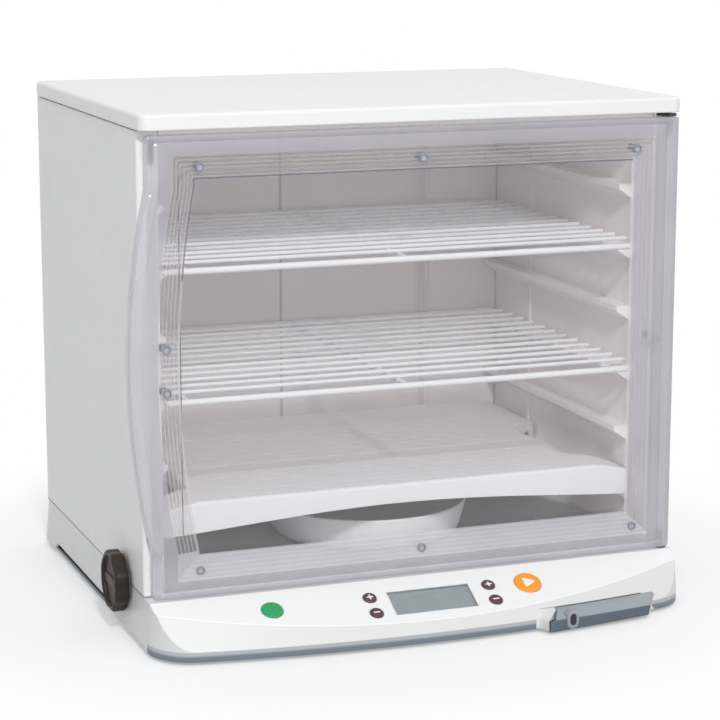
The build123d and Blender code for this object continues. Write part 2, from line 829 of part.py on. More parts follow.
def side_wall_shell(side: int) -> BuildPart:
    """Outer moulding of a side wall: skin, edge flanges, fold bosses and lock keeper."""
    with BuildPart() as wall:
        with BuildSketch(Plane.XY.offset(base_height)):
            with Locations((side * (half_width - shell_depth / 2), side_middle)):
                Rectangle(shell_depth, side_length)
        extrude(amount=wall_height)
        outer = wall.edges().filter_by(Axis.Z).group_by(Axis.X)[-1 if side > 0 else 0]
        fillet(outer, wall_edge_round)
        with BuildSketch(Plane.XY.offset(base_height + flange)):
            with Locations((side * (half_width - skin - shell_depth / 2), side_middle)):
                Rectangle(shell_depth, side_length - 2 * flange)
        extrude(amount=wall_height - 2 * flange, mode=Mode.SUBTRACT)
        # Bosses of the fold pins, and the pockets of the lugs between them
        boss_spread = lug_length / 2 + lug_gap + fold_boss / 2
        for place in side_lug_y:
            with BuildSketch(Plane.XY.offset(base_height)):
                for end in (-1, 1):
                    with Locations((side * lug_x, place + end * boss_spread)):
                        Rectangle(lug_width + 2, fold_boss)
            extrude(amount=lug_height + 2)
            with BuildSketch(Plane.XY.offset(base_height)):
                with Locations((side * lug_x, place)):
                    Rectangle(lug_width + lug_gap, lug_length + 2 * lug_gap)
            extrude(amount=lug_height + 1, mode=Mode.SUBTRACT)
            with Locations(Plane.XZ.offset(-place) * Pos(side * lug_x, fold_pin_z, 0)):
                Cylinder(fold_pin_radius + screw_fit, fold_bore, mode=Mode.SUBTRACT)
        # Keeper that the lock cam turns in
        with BuildSketch(facing_side(side, keeper_inner, knob_y, knob_z)):
            with Locations((0, (keeper_top - keeper_drop) / 2)):
                Rectangle(keeper_width, keeper_top + keeper_drop)
        extrude(amount=cam_thickness)
        with BuildSketch(facing_side(side, half_width - shell_depth, knob_y, knob_z)):
            Circle(keeper_radius)
            with Locations((0, -keeper_drop)):
                Rectangle(keeper_neck, 2 * keeper_drop)
        extrude(amount=keeper_outer - half_width + shell_depth, mode=Mode.SUBTRACT)
        # Notch over the knob's ear
        with BuildSketch(facing_side(side, keeper_outer, knob_y, knob_z)):
            Circle(ear_radius + cam_gap)
        extrude(amount=room, mode=Mode.SUBTRACT)
    return wall


def side_wall_liner(side: int) -> BuildPart:
    """Inner panel of a side wall, with the ledges that carry the racks and an upright rib."""
    with BuildPart() as panel:
        with BuildSketch(Plane.XY.offset(base_height)):
            with Locations((side * (wall_inner + liner / 2), side_middle)):
                Rectangle(liner, side_length)
        extrude(amount=wall_height)
        ledge_length = cabin_rear - ledge_rear_gap - ledge_front
        tip = wall_inner - ledge_reach
        for top in ledge_tops:
            with BuildSketch(Plane.XZ.offset(-ledge_front)):
                Polygon(
                    (side * wall_inner, top),
                    (side * tip, top),
                    (side * tip, top - ledge_tip),
                    (side * wall_inner, top - ledge_root),
                    align=None,
                )
            extrude(amount=-ledge_length)
        with BuildSketch(Plane.XY.offset(floor_level + liner)):
            with Locations((side * (wall_inner - rib_stand / 2), lid_front + rib_setback)):
                Rectangle(rib_stand, rib_width)
        extrude(amount=wall_height - 4 * liner)
    return panel


with BuildPart() as right_wall_shell:
    add(side_wall_shell(1).part)
    # Notches of the door's hinge brackets
    bracket_middle = half_width - skin - (shell_depth - skin) / 2
    with BuildSketch(Plane.XY.offset(wall_top)):
        with Locations((bracket_middle, wall_front + bracket_tail / 2)):
            Rectangle(shell_depth - skin, bracket_tail)
    extrude(amount=-bracket_top_thickness - bracket_clearance, mode=Mode.SUBTRACT)
    with BuildSketch(Plane.XY.offset(base_height)):
        with Locations((bracket_middle, wall_front + bracket_tail / 2)):
            Rectangle(shell_depth - skin, bracket_tail)
    extrude(amount=bracket_bottom_thickness + 2 * bracket_clearance, mode=Mode.SUBTRACT)
finish("right_wall_shell", right_wall_shell)

with BuildPart() as left_wall_shell:
    add(side_wall_shell(-1).part)
    # Pocket of the magnet's strike
    with BuildSketch(Plane.XZ.offset(-wall_front)):
        with Locations(magnet_at):
            Rectangle(magnet_size[0] + 2 * screw_fit, magnet_size[2] + 2 * screw_fit)
    extrude(amount=-strike_thickness, mode=Mode.SUBTRACT)
finish("left_wall_shell", left_wall_shell)
finish("right_wall_liner", side_wall_liner(1))
finish("left_wall_liner", side_wall_liner(-1))

with BuildPart() as magnet_strike:
    with BuildSketch(Plane.XZ.offset(-wall_front)):
        with Locations(magnet_at):
            Rectangle(magnet_size[0], magnet_size[2])
    extrude(amount=-strike_thickness)
finish("magnet_strike", magnet_strike)

# ================================================================ back wall
with BuildPart() as back_wall_shell:
    back_shell_front = cabin_rear + liner
    back_shell_middle = (back_shell_front + wall_rear) / 2
    with BuildSketch(Plane.XY.offset(base_height)):
        with Locations((0, back_shell_middle)):
            Rectangle(back_width, shell_depth)
    extrude(amount=wall_height)
    with BuildSketch(Plane.XY.offset(base_height + flange)):
        with Locations((0, back_shell_middle - skin)):
            Rectangle(back_width - 2 * flange, shell_depth)
    extrude(amount=wall_height - 2 * flange, mode=Mode.SUBTRACT)
    for side in (-1, 1):
        with BuildSketch(Plane.XY.offset(base_height)):
            for end in (-1, 1):
                spread = lug_length / 2 + lug_gap + fold_boss / 2
                with Locations((side * back_lug_at + end * spread, back_lug_y)):
                    Rectangle(fold_boss, lug_width + 2)
        extrude(amount=lug_height + 2)
        with BuildSketch(Plane.XY.offset(base_height)):
            with Locations((side * back_lug_at, back_lug_y)):
                Rectangle(lug_length + 2 * lug_gap, lug_width + lug_gap)
        extrude(amount=lug_height + 1, mode=Mode.SUBTRACT)
        with Locations(Plane.YZ.offset(side * back_lug_at) * Pos(back_lug_y, fold_pin_z, 0)):
            Cylinder(fold_pin_radius + screw_fit, fold_bore, mode=Mode.SUBTRACT)
finish("back_wall_shell", back_wall_shell)

with BuildPart() as back_wall_liner:
    with BuildSketch(Plane.XY.offset(base_height)):
        with Locations((0, cabin_rear + liner / 2)):
            Rectangle(back_width, liner)
    extrude(amount=wall_height)
    for place, width in grooves:
        with BuildSketch(Plane.XY.offset(base_height)):
            with Locations((place, cabin_rear)):
                Rectangle(width, 2 * groove_depth)
        extrude(amount=wall_height, mode=Mode.SUBTRACT)
finish("back_wall_liner", back_wall_liner)

with BuildPart() as fold_hinge_pins:
    for side in (-1, 1):
        for place in side_lug_y:
            with Locations(Plane.XZ.offset(-place) * Pos(side * lug_x, fold_pin_z, 0)):
                Cylinder(fold_pin_radius, fold_pin_length)
        with Locations(Plane.YZ.offset(side * back_lug_at) * Pos(back_lug_y, fold_pin_z, 0)):
            Cylinder(fold_pin_radius, fold_pin_length)
finish("fold_hinge_pins", fold_hinge_pins)

# ================================================================ lock knobs
knob_dish_radius = knob_radius - knob_dish_inset
for side, name in ((-1, "left"), (1, "right")):
    with BuildPart() as knob:
        with BuildSketch(facing_side(side, half_width + knob_gap, knob_y, knob_z)):
            Circle(knob_radius)
            with PolarLocations(knob_radius + knob_flute_radius / 2, knob_flutes):
                Circle(knob_flute_radius, mode=Mode.SUBTRACT)
        extrude(amount=knob_thickness)
        with BuildSketch(facing_side(side, half_width + knob_gap + knob_thickness, knob_y, knob_z)):
            Circle(knob_dish_radius)
        extrude(amount=-knob_grip_depth, mode=Mode.SUBTRACT)
        with BuildSketch(facing_side(side, half_width + knob_gap + knob_thickness, knob_y, knob_z)):
            SlotOverall(2 * (knob_dish_radius - knob_grip_gap), knob_grip_width)
        extrude(amount=-knob_grip_depth)
        with BuildSketch(facing_side(side, keeper_outer, knob_y, knob_z)):
            Circle(shaft_radius)
        extrude(amount=half_width + knob_gap - keeper_outer)
        with BuildSketch(facing_side(side, keeper_inner, knob_y, knob_z)):
            Rectangle(shaft_square, shaft_square)
        extrude(amount=cam_thickness)
    finish(f"lock_knob_{name}", knob)
    with BuildPart() as cam:
        with BuildSketch(facing_side(side, keeper_inner, knob_y, knob_z)):
            SlotOverall(cam_length, cam_width)
            Rectangle(shaft_square + screw_fit, shaft_square + screw_fit, mode=Mode.SUBTRACT)
        extrude(amount=cam_thickness)
    finish(f"lock_cam_{name}", cam)

# ================================================================ lid
lid_half = cabinet_width / 2 + lid_overhang
lid_middle = (lid_front + lid_rear) / 2
lid_roof = lid_top - lid_skin
liner_top = lid_bottom + lid_liner_thickness
lid_boss_x = half_width - lid_boss_inset[0]
lid_bosses_at = [
    (x, y)
    for x in (-lid_boss_x, 0, lid_boss_x)
    for y in (lid_front + lid_boss_inset[1], lid_rear - lid_boss_inset[1])
]

with BuildPart() as lid_shell:
    with BuildSketch(Plane.XY.offset(lid_bottom)):
        with Locations((0, lid_middle)):
            RectangleRounded(2 * lid_half, lid_depth, radius=lid_corner)
    extrude(amount=lid_thickness)
    fillet(lid_shell.edges().group_by(Axis.Z)[-1], lid_edge_round)
    with BuildSketch(Plane.XY.offset(lid_bottom)):
        with Locations((0, lid_middle)):
            RectangleRounded(
                2 * (lid_half - lid_skin),
                lid_depth - 2 * lid_skin,
                radius=lid_corner - lid_skin,
            )
    extrude(amount=lid_thickness - lid_skin, mode=Mode.SUBTRACT)
    with BuildSketch(Plane.XY.offset(liner_top)):
        with Locations(*lid_bosses_at):
            Circle(lid_boss_radius)
    extrude(amount=lid_roof - liner_top)
    with BuildSketch(Plane.XY.offset(liner_top)):
        with Locations(*lid_bosses_at):
            Circle(screw_radius + screw_fit)
    extrude(amount=lid_roof - liner_top, mode=Mode.SUBTRACT)
finish("lid_shell", lid_shell)

with BuildPart() as lid_liner:
    # Plate that closes the lid from below
    with BuildSketch(Plane.XY.offset(lid_bottom)):
        with Locations((0, lid_middle)):
            RectangleRounded(
                2 * (lid_half - lid_skin - lid_clearance),
                lid_depth - 2 * lid_skin - 2 * lid_clearance,
                radius=lid_corner - lid_skin,
            )
    extrude(amount=lid_liner_thickness)
    # Step that sits on the walls
    step_front = wall_front + lid_clearance
    step_rear = wall_rear - lid_skin
    with BuildSketch(Plane.XY.offset(wall_top)):
        with Locations((0, (step_front + step_rear) / 2)):
            Rectangle(2 * (half_width - lid_skin), step_rear - step_front)
    extrude(amount=lid_step)
    # Ring that centres the lid in the cabin
    ring_front = wall_front + lid_ring_gap
    ring_rear = cabin_rear - lid_ring_gap
    ring_width = 2 * (wall_inner - lid_ring_gap)
    with BuildSketch(Plane.XY.offset(wall_top)):
        with Locations((0, (ring_front + ring_rear) / 2)):
            Rectangle(ring_width, ring_rear - ring_front)
            Rectangle(
                ring_width - 2 * lid_ring_width,
                ring_rear - ring_front - 2 * lid_ring_width,
                mode=Mode.SUBTRACT,
            )
    extrude(amount=-lid_ring_depth)
    with BuildSketch(Plane.XY.offset(wall_top)):
        with Locations(*lid_bosses_at):
            Circle(screw_radius + screw_fit)
    extrude(amount=lid_step + lid_liner_thickness, mode=Mode.SUBTRACT)
    with BuildSketch(Plane.XY.offset(wall_top)):
        with Locations(*lid_bosses_at):
            Circle(screw_head_radius + screw_fit)
    extrude(amount=screw_head, mode=Mode.SUBTRACT)
finish("lid_liner", lid_liner)

with BuildPart() as lid_screws:
    with BuildSketch(Plane.XY.offset(wall_top)):
        with Locations(*lid_bosses_at):
            Circle(screw_head_radius)
    extrude(amount=screw_head)
    with BuildSketch(Plane.XY.offset(wall_top + screw_head)):
        with Locations(*lid_bosses_at):
            Circle(screw_radius)
    extrude(amount=lid_roof - wall_top - screw_head - 1)
finish("lid_screws", lid_screws)

# ================================================================ door
grip_middle = (grip_low + grip_high) / 2


def door_outline(left: float, right: float, top: float, bottom: float, bow: float) -> Sketch:
    """Outline of the door seen from the front, inset from its four edges, bowed at its left."""
    x_left = door_left + left
    x_right = door_right - right
    with BuildSketch() as outline:
        with BuildLine():
            Polyline(
                (x_left, grip_high),
                (x_left, door_top - top),
                (x_right, door_top - top),
                (x_right, door_bottom + bottom),
                (x_left, door_bottom + bottom),
                (x_left, grip_low),
            )
            ThreePointArc((x_left, grip_low), (x_left - bow, grip_middle), (x_left, grip_high))
        make_face()
    return outline.sketch


def behind_door_face(depth: float) -> Plane:
    """Upright plane at a depth behind the door's face, whose Z axis looks to the front."""
    return Plane.XZ.offset(-(door_face + depth))


with BuildPart() as door_front_panel:
    with BuildSketch(behind_door_face(0)):
        add(door_outline(0, 0, 0, 0, grip_bow))
    extrude(amount=-door_front_depth)
    # Barrel along the hinge, as thick as the whole door
    with BuildSketch(Plane.XY.offset(door_bottom)):
        with Locations((hinge_x, hinge_y)):
            Circle(door_thickness / 2)
        with Locations((hinge_x - door_hinge_land / 2, hinge_y)):
            Rectangle(door_hinge_land, door_thickness)
    extrude(amount=door_top - door_bottom)
    with BuildSketch(Plane.XY.offset(door_bottom)):
        with Locations((hinge_x + door_thickness / 4, hinge_y)):
            Rectangle(door_thickness / 2, door_thickness)
        with Locations((hinge_x, hinge_y)):
            Circle(door_thickness / 2, mode=Mode.SUBTRACT)
    extrude(amount=door_top - door_bottom, mode=Mode.SUBTRACT)
    # Steps down to the clear pane
    for step in range(door_steps):
        inset = step * step_width
        with BuildSketch(behind_door_face(step * step_depth)):
            add(
                door_outline(
                    band_left + inset,
                    band_right + inset,
                    band_top + inset,
                    band_bottom + inset,
                    step_bow,
                )
            )
        extrude(amount=-step_depth, mode=Mode.SUBTRACT)
    # Holes of the screws and the hinge pins
    with BuildSketch(Plane.XZ.offset(-door_face - door_front_depth)):
        with Locations(*door_screws_at):
            Circle(screw_radius + screw_fit)
    extrude(amount=door_front_depth - door_screw_tip + door_screw_gap, mode=Mode.SUBTRACT)
    for level, way in ((door_bottom, 1), (door_top, -1)):
        with BuildSketch(Plane.XY.offset(level)):
            with Locations((hinge_x, hinge_y)):
                Circle(pin_radius + running_clearance)
        extrude(amount=way * pin_depth, mode=Mode.SUBTRACT)
finish("door_front_panel", door_front_panel)

rear_left = door_left + door_rear_inset
rear_right = hinge_x - door_hinge_land
rear_width = rear_right - rear_left
rear_height = door_top - door_bottom - 2 * door_rear_inset
rear_centre = ((rear_left + rear_right) / 2, (door_top + door_bottom) / 2)

with BuildPart() as door_rear_panel:
    with BuildSketch(Plane.XZ.offset(-door_back)):
        with Locations(rear_centre):
            RectangleRounded(rear_width, rear_height, radius=lid_corner)
    extrude(amount=door_thickness - door_front_depth)
    # Air space behind the clear pane
    with BuildSketch(Plane.XZ.offset(-door_face - door_front_depth)):
        with Locations(rear_centre):
            RectangleRounded(
                rear_width - 2 * (band_left + step_width),
                rear_height - 2 * (band_top + 3 * step_width),
                radius=lid_corner,
            )
    extrude(amount=-(door_thickness - door_front_depth - door_rear_pane), mode=Mode.SUBTRACT)
    with BuildSketch(Plane.XZ.offset(-door_back)):
        with Locations(*door_screws_at):
            Circle(screw_radius + screw_fit)
    extrude(amount=door_thickness, mode=Mode.SUBTRACT)
    with BuildSketch(Plane.XZ.offset(-door_back)):
        with Locations(*door_screws_at):
            Circle(screw_head_radius + screw_fit)
    extrude(amount=screw_head, mode=Mode.SUBTRACT)
    with BuildSketch(Plane.XZ.offset(-door_back)):
        with Locations(magnet_at):
            Rectangle(magnet_size[0] + 2 * screw_fit, magnet_size[2] + 2 * screw_fit)
    extrude(amount=magnet_size[1], mode=Mode.SUBTRACT)
finish("door_rear_panel", door_rear_panel)

with BuildPart() as door_magnet:
    with BuildSketch(Plane.XZ.offset(-door_back)):
        with Locations(magnet_at):
            Rectangle(magnet_size[0], magnet_size[2])
    extrude(amount=magnet_size[1])
finish("door_magnet", door_magnet)

with BuildPart() as door_screws:
    with BuildSketch(Plane.XZ.offset(-door_back)):
        with Locations(*door_screws_at):
            Circle(screw_head_radius)
    extrude(amount=screw_head)
    with BuildSketch(Plane.XZ.offset(-door_back + screw_head)):
        with Locations(*door_screws_at):
            Circle(screw_radius)
    extrude(amount=door_thickness - screw_head - door_screw_tip)
finish("door_screws", door_screws)

outer_x = door_left + grip_edge_inset
grip_foot = grip_low + grip_end_gap
grip_head = grip_high - grip_end_gap
with BuildPart() as door_grip:
    with BuildSketch(Plane.XZ.offset(-door_face)):
        with BuildLine():
            ThreePointArc(
                (outer_x, grip_foot),
                (outer_x - grip_bow, grip_middle),
                (outer_x, grip_head),
            )
            Line((outer_x, grip_head), (outer_x + grip_width, grip_head))
            ThreePointArc(
                (outer_x + grip_width, grip_head),
                (outer_x + grip_width - grip_bow, grip_middle),
                (outer_x + grip_width, grip_foot),
            )
            Line((outer_x + grip_width, grip_foot), (outer_x, grip_foot))
        make_face()
    extrude(amount=grip_stand)
    fillet(door_grip.faces().sort_by(Axis.Y)[0].edges(), grip_round)
finish("door_grip", door_grip)

bracket_left = half_width - shell_depth + bracket_clearance
bracket_right = half_width - skin - bracket_clearance
with BuildPart() as door_hinge_brackets:
    for level, thickness in (
        (wall_top - bracket_top_thickness, bracket_top_thickness),
        (base_height + bracket_clearance, bracket_bottom_thickness),
    ):
        with BuildSketch(Plane.XY.offset(level)):
            with Locations((hinge_x, hinge_y)):
                Circle(bracket_nose)
            with BuildLine():
                Polyline(
                    (hinge_x - bracket_nose, hinge_y),
                    (hinge_x + bracket_nose, hinge_y),
                    (bracket_right, wall_front - door_gap / 2),
                    (bracket_right, wall_front + bracket_tail - bracket_clearance),
                    (bracket_left, wall_front + bracket_tail - bracket_clearance),
                    (bracket_left, wall_front - door_gap / 2),
                    close=True,
                )
            make_face()
        extrude(amount=thickness)
    with BuildSketch(Plane.XY.offset(base_height - 1)):
        with Locations((hinge_x, hinge_y)):
            Circle(pin_radius - screw_fit)
    extrude(amount=wall_height + 2, mode=Mode.SUBTRACT)
finish("door_hinge_brackets", door_hinge_brackets)

with BuildPart() as door_hinge_pins:
    top_plate = wall_top - bracket_top_thickness
    with BuildSketch(Plane.XY.offset(base_height + bracket_clearance)):
        with Locations((hinge_x, hinge_y)):
            Circle(pin_radius - 2 * screw_fit)
    extrude(amount=bracket_bottom_thickness)
    with BuildSketch(Plane.XY.offset(base_height + bracket_clearance + bracket_bottom_thickness)):
        with Locations((hinge_x, hinge_y)):
            Circle(pin_radius)
    extrude(amount=pin_depth - 1)
    with BuildSketch(Plane.XY.offset(wall_top)):
        with Locations((hinge_x, hinge_y)):
            Circle(pin_radius - 2 * screw_fit)
    extrude(amount=-bracket_top_thickness)
    with BuildSketch(Plane.XY.offset(top_plate)):
        with Locations((hinge_x, hinge_y)):
            Circle(pin_radius)
    extrude(amount=-(pin_depth - 1))
finish("door_hinge_pins", door_hinge_pins)

# ================================================================ racks
rack_half = wall_inner - rack_side_gap
rack_front = lid_front + rack_setback
rack_rear = cabin_rear - rack_rear_gap
side_rod_x = rack_half - side_rod_inset

for name, ledge in rack_ledges.items():
    rod_z = ledge_tops[ledge] + rod_radius
    wire_z = rod_z + cross_radius + wire_radius - wire_sink
    with BuildPart() as rack:
        with BuildSketch(Plane.YZ.offset(-rack_half)):
            with Locations((rack_front, rod_z), (rack_rear, rod_z)):
                Circle(rod_radius)
            for row in range(wire_count):
                with Locations((rack_front + first_wire + row * wire_pitch, wire_z)):
                    Circle(wire_radius)
        extrude(amount=2 * rack_half)
        with BuildSketch(Plane.XZ.offset(-rack_front)):
            with Locations((-side_rod_x, rod_z), (0, rod_z), (side_rod_x, rod_z)):
                Circle(cross_radius)
        extrude(amount=-(rack_rear - rack_front))
    finish(name, rack)

# ================================================================ board over the heater
board_half = wall_inner - board_side_gap
board_front = lid_front + board_setback
board_rear = cabin_rear - board_rear_gap
board_top = ledge_first + board_rise
notch_start = board_front + notch_front
notch_end = notch_start + notch_length
short_skirt_start = notch_start + notch_slope / 3


def board_outline(inset: float) -> Sketch:
    """Plan of the board with a long notch in each side, drawn in by the inset."""
    half = board_half - inset
    waist = board_half - notch_depth - inset
    front = board_front + inset
    rear = board_rear - inset
    right = [
        (half, front),
        (half, notch_start - inset / 2),
        (waist, notch_start + notch_slope - inset / 2),
        (waist, notch_end - notch_slope + inset / 2),
        (half, notch_end + notch_slope + inset / 2),
        (half, rear),
    ]
    left = [(-x, y) for x, y in reversed(right)]
    with BuildSketch() as plan:
        Polygon(*right, *left, align=None)
    return plan.sketch


with BuildPart() as heat_board:
    with BuildSketch(Plane.XY.offset(ledge_first)):
        add(board_outline(0))
    extrude(amount=board_rise)
    fillet(heat_board.edges().group_by(Axis.Z)[-1], board_round)
    with BuildSketch(Plane.XY.offset(ledge_first)):
        add(board_outline(board_thickness))
    extrude(amount=board_rise - board_thickness, mode=Mode.SUBTRACT)
    # Skirts of the notches and the rear stop short of the ledges
    with BuildSketch(Plane.XY.offset(ledge_first)):
        with Locations((0, (short_skirt_start + board_rear + board_thickness) / 2)):
            Rectangle(
                2 * (wall_inner - ledge_reach - board_ledge_gap),
                board_rear + board_thickness - short_skirt_start,
            )
    extrude(amount=board_rise - notch_skirt - board_thickness, mode=Mode.SUBTRACT)
    # Front skirt with its arched lower edge
    skirt_low = ledge_first - board_drop
    skirt_high = ledge_first + board_thickness
    arch_left = -board_half + board_arch_insets[0]
    arch_right = board_half - board_arch_insets[1]
    with BuildSketch(Plane.XZ.offset(-board_front)):
        with BuildLine():
            Polyline(
                (arch_left, skirt_low),
                (-board_half, skirt_low),
                (-board_half, skirt_high),
                (board_half, skirt_high),
                (board_half, skirt_low),
                (arch_right, skirt_low),
            )
            arch_middle = ((arch_left + arch_right) / 2, skirt_low + board_arch)
            ThreePointArc((arch_right, skirt_low), arch_middle, (arch_left, skirt_low))
        make_face()
    extrude(amount=-board_thickness)
finish("heat_board", heat_board)

# ================================================================ water dish
dish_top = floor_level + dish_height
dish_y = lid_front + dish_setback
with BuildPart() as water_dish:
    dish_plane = Plane(origin=(dish_offset, dish_y, 0), x_dir=(1, 0, 0), z_dir=(0, -1, 0))
    with BuildSketch(dish_plane) as profile:
        Polygon(
            (0, floor_level),
            (dish_foot_radius, floor_level),
            (dish_radius, dish_top),
            (dish_radius - dish_wall, dish_top),
            (dish_foot_radius - dish_wall / 2, floor_level + dish_wall),
            (0, floor_level + dish_wall),
            align=None,
        )
        foot_outside = (dish_foot_radius, floor_level)
        foot_inside = (dish_foot_radius - dish_wall / 2, floor_level + dish_wall)
        fillet(profile.vertices().sort_by_distance(foot_outside)[0], dish_round)
        fillet(profile.vertices().sort_by_distance(foot_inside)[0], dish_round - dish_wall)
        fillet(profile.vertices().group_by(Axis.Y)[-1], dish_wall / 3)
    revolve(axis=Axis((dish_offset, dish_y, 0), (0, 0, 1)))
finish("water_dish", water_dish)

# ================================================================ writing
os.makedirs("parts", exist_ok=True)
for piece in made:
    export_step(piece, f"parts/{piece.label}.step")
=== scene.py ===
"""Looks of the folding dough proofer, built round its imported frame.

Sizes in the classes are millimetres, as they are measured on the object; the mesh makers turn
them into metres. X runs to the right of somebody facing the door, Y to the back and Z up.
"""

import logging
import math
from dataclasses import dataclass
from enum import Enum, IntEnum
from functools import cached_property

import bmesh
import bpy
import numpy as np
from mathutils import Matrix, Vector


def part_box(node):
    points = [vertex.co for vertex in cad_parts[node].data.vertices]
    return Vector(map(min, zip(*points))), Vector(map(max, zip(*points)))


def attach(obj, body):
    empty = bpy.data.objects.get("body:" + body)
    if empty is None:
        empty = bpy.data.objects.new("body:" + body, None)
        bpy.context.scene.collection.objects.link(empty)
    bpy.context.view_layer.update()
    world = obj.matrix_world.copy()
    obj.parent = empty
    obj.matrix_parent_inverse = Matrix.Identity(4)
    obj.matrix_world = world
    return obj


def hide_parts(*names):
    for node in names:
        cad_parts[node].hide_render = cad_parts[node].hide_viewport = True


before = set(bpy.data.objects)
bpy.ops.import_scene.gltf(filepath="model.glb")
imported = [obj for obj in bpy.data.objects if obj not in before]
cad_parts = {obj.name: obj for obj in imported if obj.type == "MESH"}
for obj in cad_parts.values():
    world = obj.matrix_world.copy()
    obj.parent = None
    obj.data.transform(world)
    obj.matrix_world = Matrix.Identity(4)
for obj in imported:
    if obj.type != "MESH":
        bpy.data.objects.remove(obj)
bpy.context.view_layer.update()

log = logging.getLogger("proofer")
MM = 0.001
QUARTER = math.pi / 2
Colour = tuple[float, float, float]
Rows = tuple[tuple[float, ...], ...]


# ---------------------------------------------------------------- finishes
class Spread(Enum):
    """How a finish's small colour changes are laid out: factors along X, Y and Z."""

    CLOUDS = (1.0, 1.0, 1.0)
    STREAKS = (0.05, 1.0, 1.0)


def srgb(red: int, green: int, blue: int) -> Colour:
    """Turns a colour written in 0 to 255 steps into linear light.

    A share s of the full step goes to s / 12.92 up to 0.04045, and above it to
    ((s + 0.055) / 1.055) ** 2.4.

    Args:
        red: red step.
        green: green step.
        blue: blue step.

    Returns:
        The three linear values.
    """
    steps = np.array([red, green, blue]) / 255.0
    linear = np.where(steps <= 0.04045, steps / 12.92, ((steps + 0.055) / 1.055) ** 2.4)
    return tuple(float(v) for v in linear)


def shade(colour: Colour, factor: float) -> Colour:
    """The colour made darker or lighter by a factor."""
    return tuple(min(1.0, max(0.0, c * factor)) for c in colour)


class Nodes:
    """Short hand for wiring the nodes of a material or of the world."""

    mix_sockets = (0, 6, 7)
    mix_result = 2
    noise_range = (0.3, 0.7)

    def __init__(self, owner: bpy.types.Material | bpy.types.World, output: str) -> None:
        """Empties the owner's nodes and adds its output.

        Args:
            owner: the material or the world.
            output: node type of the output.
        """
        owner.use_nodes = True
        self.tree = owner.node_tree
        self.tree.nodes.clear()
        self.output = self.add(output)

    @cached_property
    def place(self) -> bpy.types.NodeSocket:
        """Object coordinates."""
        return self.add("ShaderNodeTexCoord").outputs["Object"]

    def feed(self, target: bpy.types.NodeSocket, value: object) -> None:
        """Fills an input socket.

        Args:
            target: the input.
            value: a socket, a node whose first output counts, or a plain value.
        """
        if isinstance(value, bpy.types.Node):
            value = value.outputs[0]
        if isinstance(value, bpy.types.NodeSocket):
            self.tree.links.new(value, target)
        else:
            target.default_value = (*value, 1) if target.type == "RGBA" else value

    def add(self, kind: str, *values: object, **settings: object) -> bpy.types.Node:
        """Adds a node and fills its properties and inputs.

        Args:
            kind: Blender's node type.
            values: what its first inputs get, where several inputs share one name.
            settings: property names, or input names with spaces written as underscores.

        Returns:
            The new node.
        """
        node = self.tree.nodes.new(kind)
        for key, value in settings.items():
            if hasattr(node, key) and key not in node.inputs:
                setattr(node, key, value)
            else:
                self.feed(node.inputs[key.replace("_", " ")], value)
        for target, value in zip(node.inputs, values):
            self.feed(target, value)
        return node

    def maths(self, operation: str, *values: object) -> bpy.types.Node:
        """A calculation on sockets and numbers, by Blender's name of it."""
        return self.add("ShaderNodeMath", *values, operation=operation)

    def mixed(self, factor: object, first: bpy.types.Node, second: bpy.types.Node) -> bpy.types.Node:
        """Two shaders mixed: factor 0 gives the first and 1 the second."""
        return self.add("ShaderNodeMixShader", factor, first, second)

    def rays(self, *names: str) -> object:
        """1 for a ray of one of the named kinds and 0 for any other."""
        path = self.add("ShaderNodeLightPath")
        found = path.outputs[names[0]]
        for name in names[1:]:
            found = self.maths("MAXIMUM", found, path.outputs[name])
        return found

    def surface(self, shader: bpy.types.Node) -> None:
        """Makes a shader the surface of the material, or of the world."""
        self.feed(self.output.inputs["Surface"], shader)

    def noise(self, size: float, detail: float = 3.0, spread: Spread = Spread.CLOUDS) -> bpy.types.NodeSocket:
        """Cloudy noise whose blotches are about one size across.

        Args:
            size: blotch size in millimetres.
            detail: layers of finer noise.
            spread: how the blotches are drawn out.

        Returns:
            The noise, from 0 to 1.
        """
        mapping = self.add("ShaderNodeMapping", Vector=self.place, Scale=spread.value)
        node = self.add("ShaderNodeTexNoise", Vector=mapping, Scale=1.0 / (size * MM), Detail=detail)
        return node.outputs["Fac"]

    def ranged(self, source: bpy.types.NodeSocket, low: float, high: float) -> bpy.types.Node:
        """Maps noise from its usual range onto a new one.

        Args:
            source: noise value.
            low: value at the dark end.
            high: value at the bright end.

        Returns:
            The mapping node.
        """
        start, end = self.noise_range
        ends = {"From_Min": start, "From_Max": end, "To_Min": low, "To_Max": high}
        return self.add("ShaderNodeMapRange", Value=source, **ends)

    def blend(self, factor: object, dark: object, bright: object) -> bpy.types.NodeSocket:
        """Mixes two colours by a value: 0 gives the dark one and 1 the bright one."""
        node = self.add("ShaderNodeMix", data_type="RGBA")
        for number, value in zip(self.mix_sockets, (factor, dark, bright)):
            self.feed(node.inputs[number], value)
        return node.outputs[self.mix_result]

    def clouded(self, size: float, detail: float, spread: Spread, colour: Colour, part: float) -> object:
        """A colour that clouds make darker and lighter.

        Args:
            size: blotch size in millimetres.
            detail: layers of finer noise.
            spread: how the blotches are drawn out.
            colour: the colour between the two.
            part: how far it goes either way, as a share.

        Returns:
            The colour's socket.
        """
        clouds = self.ranged(self.noise(size, detail, spread), 0.0, 1.0)
        return self.blend(clouds, shade(colour, 1 - part), shade(colour, 1 + part))


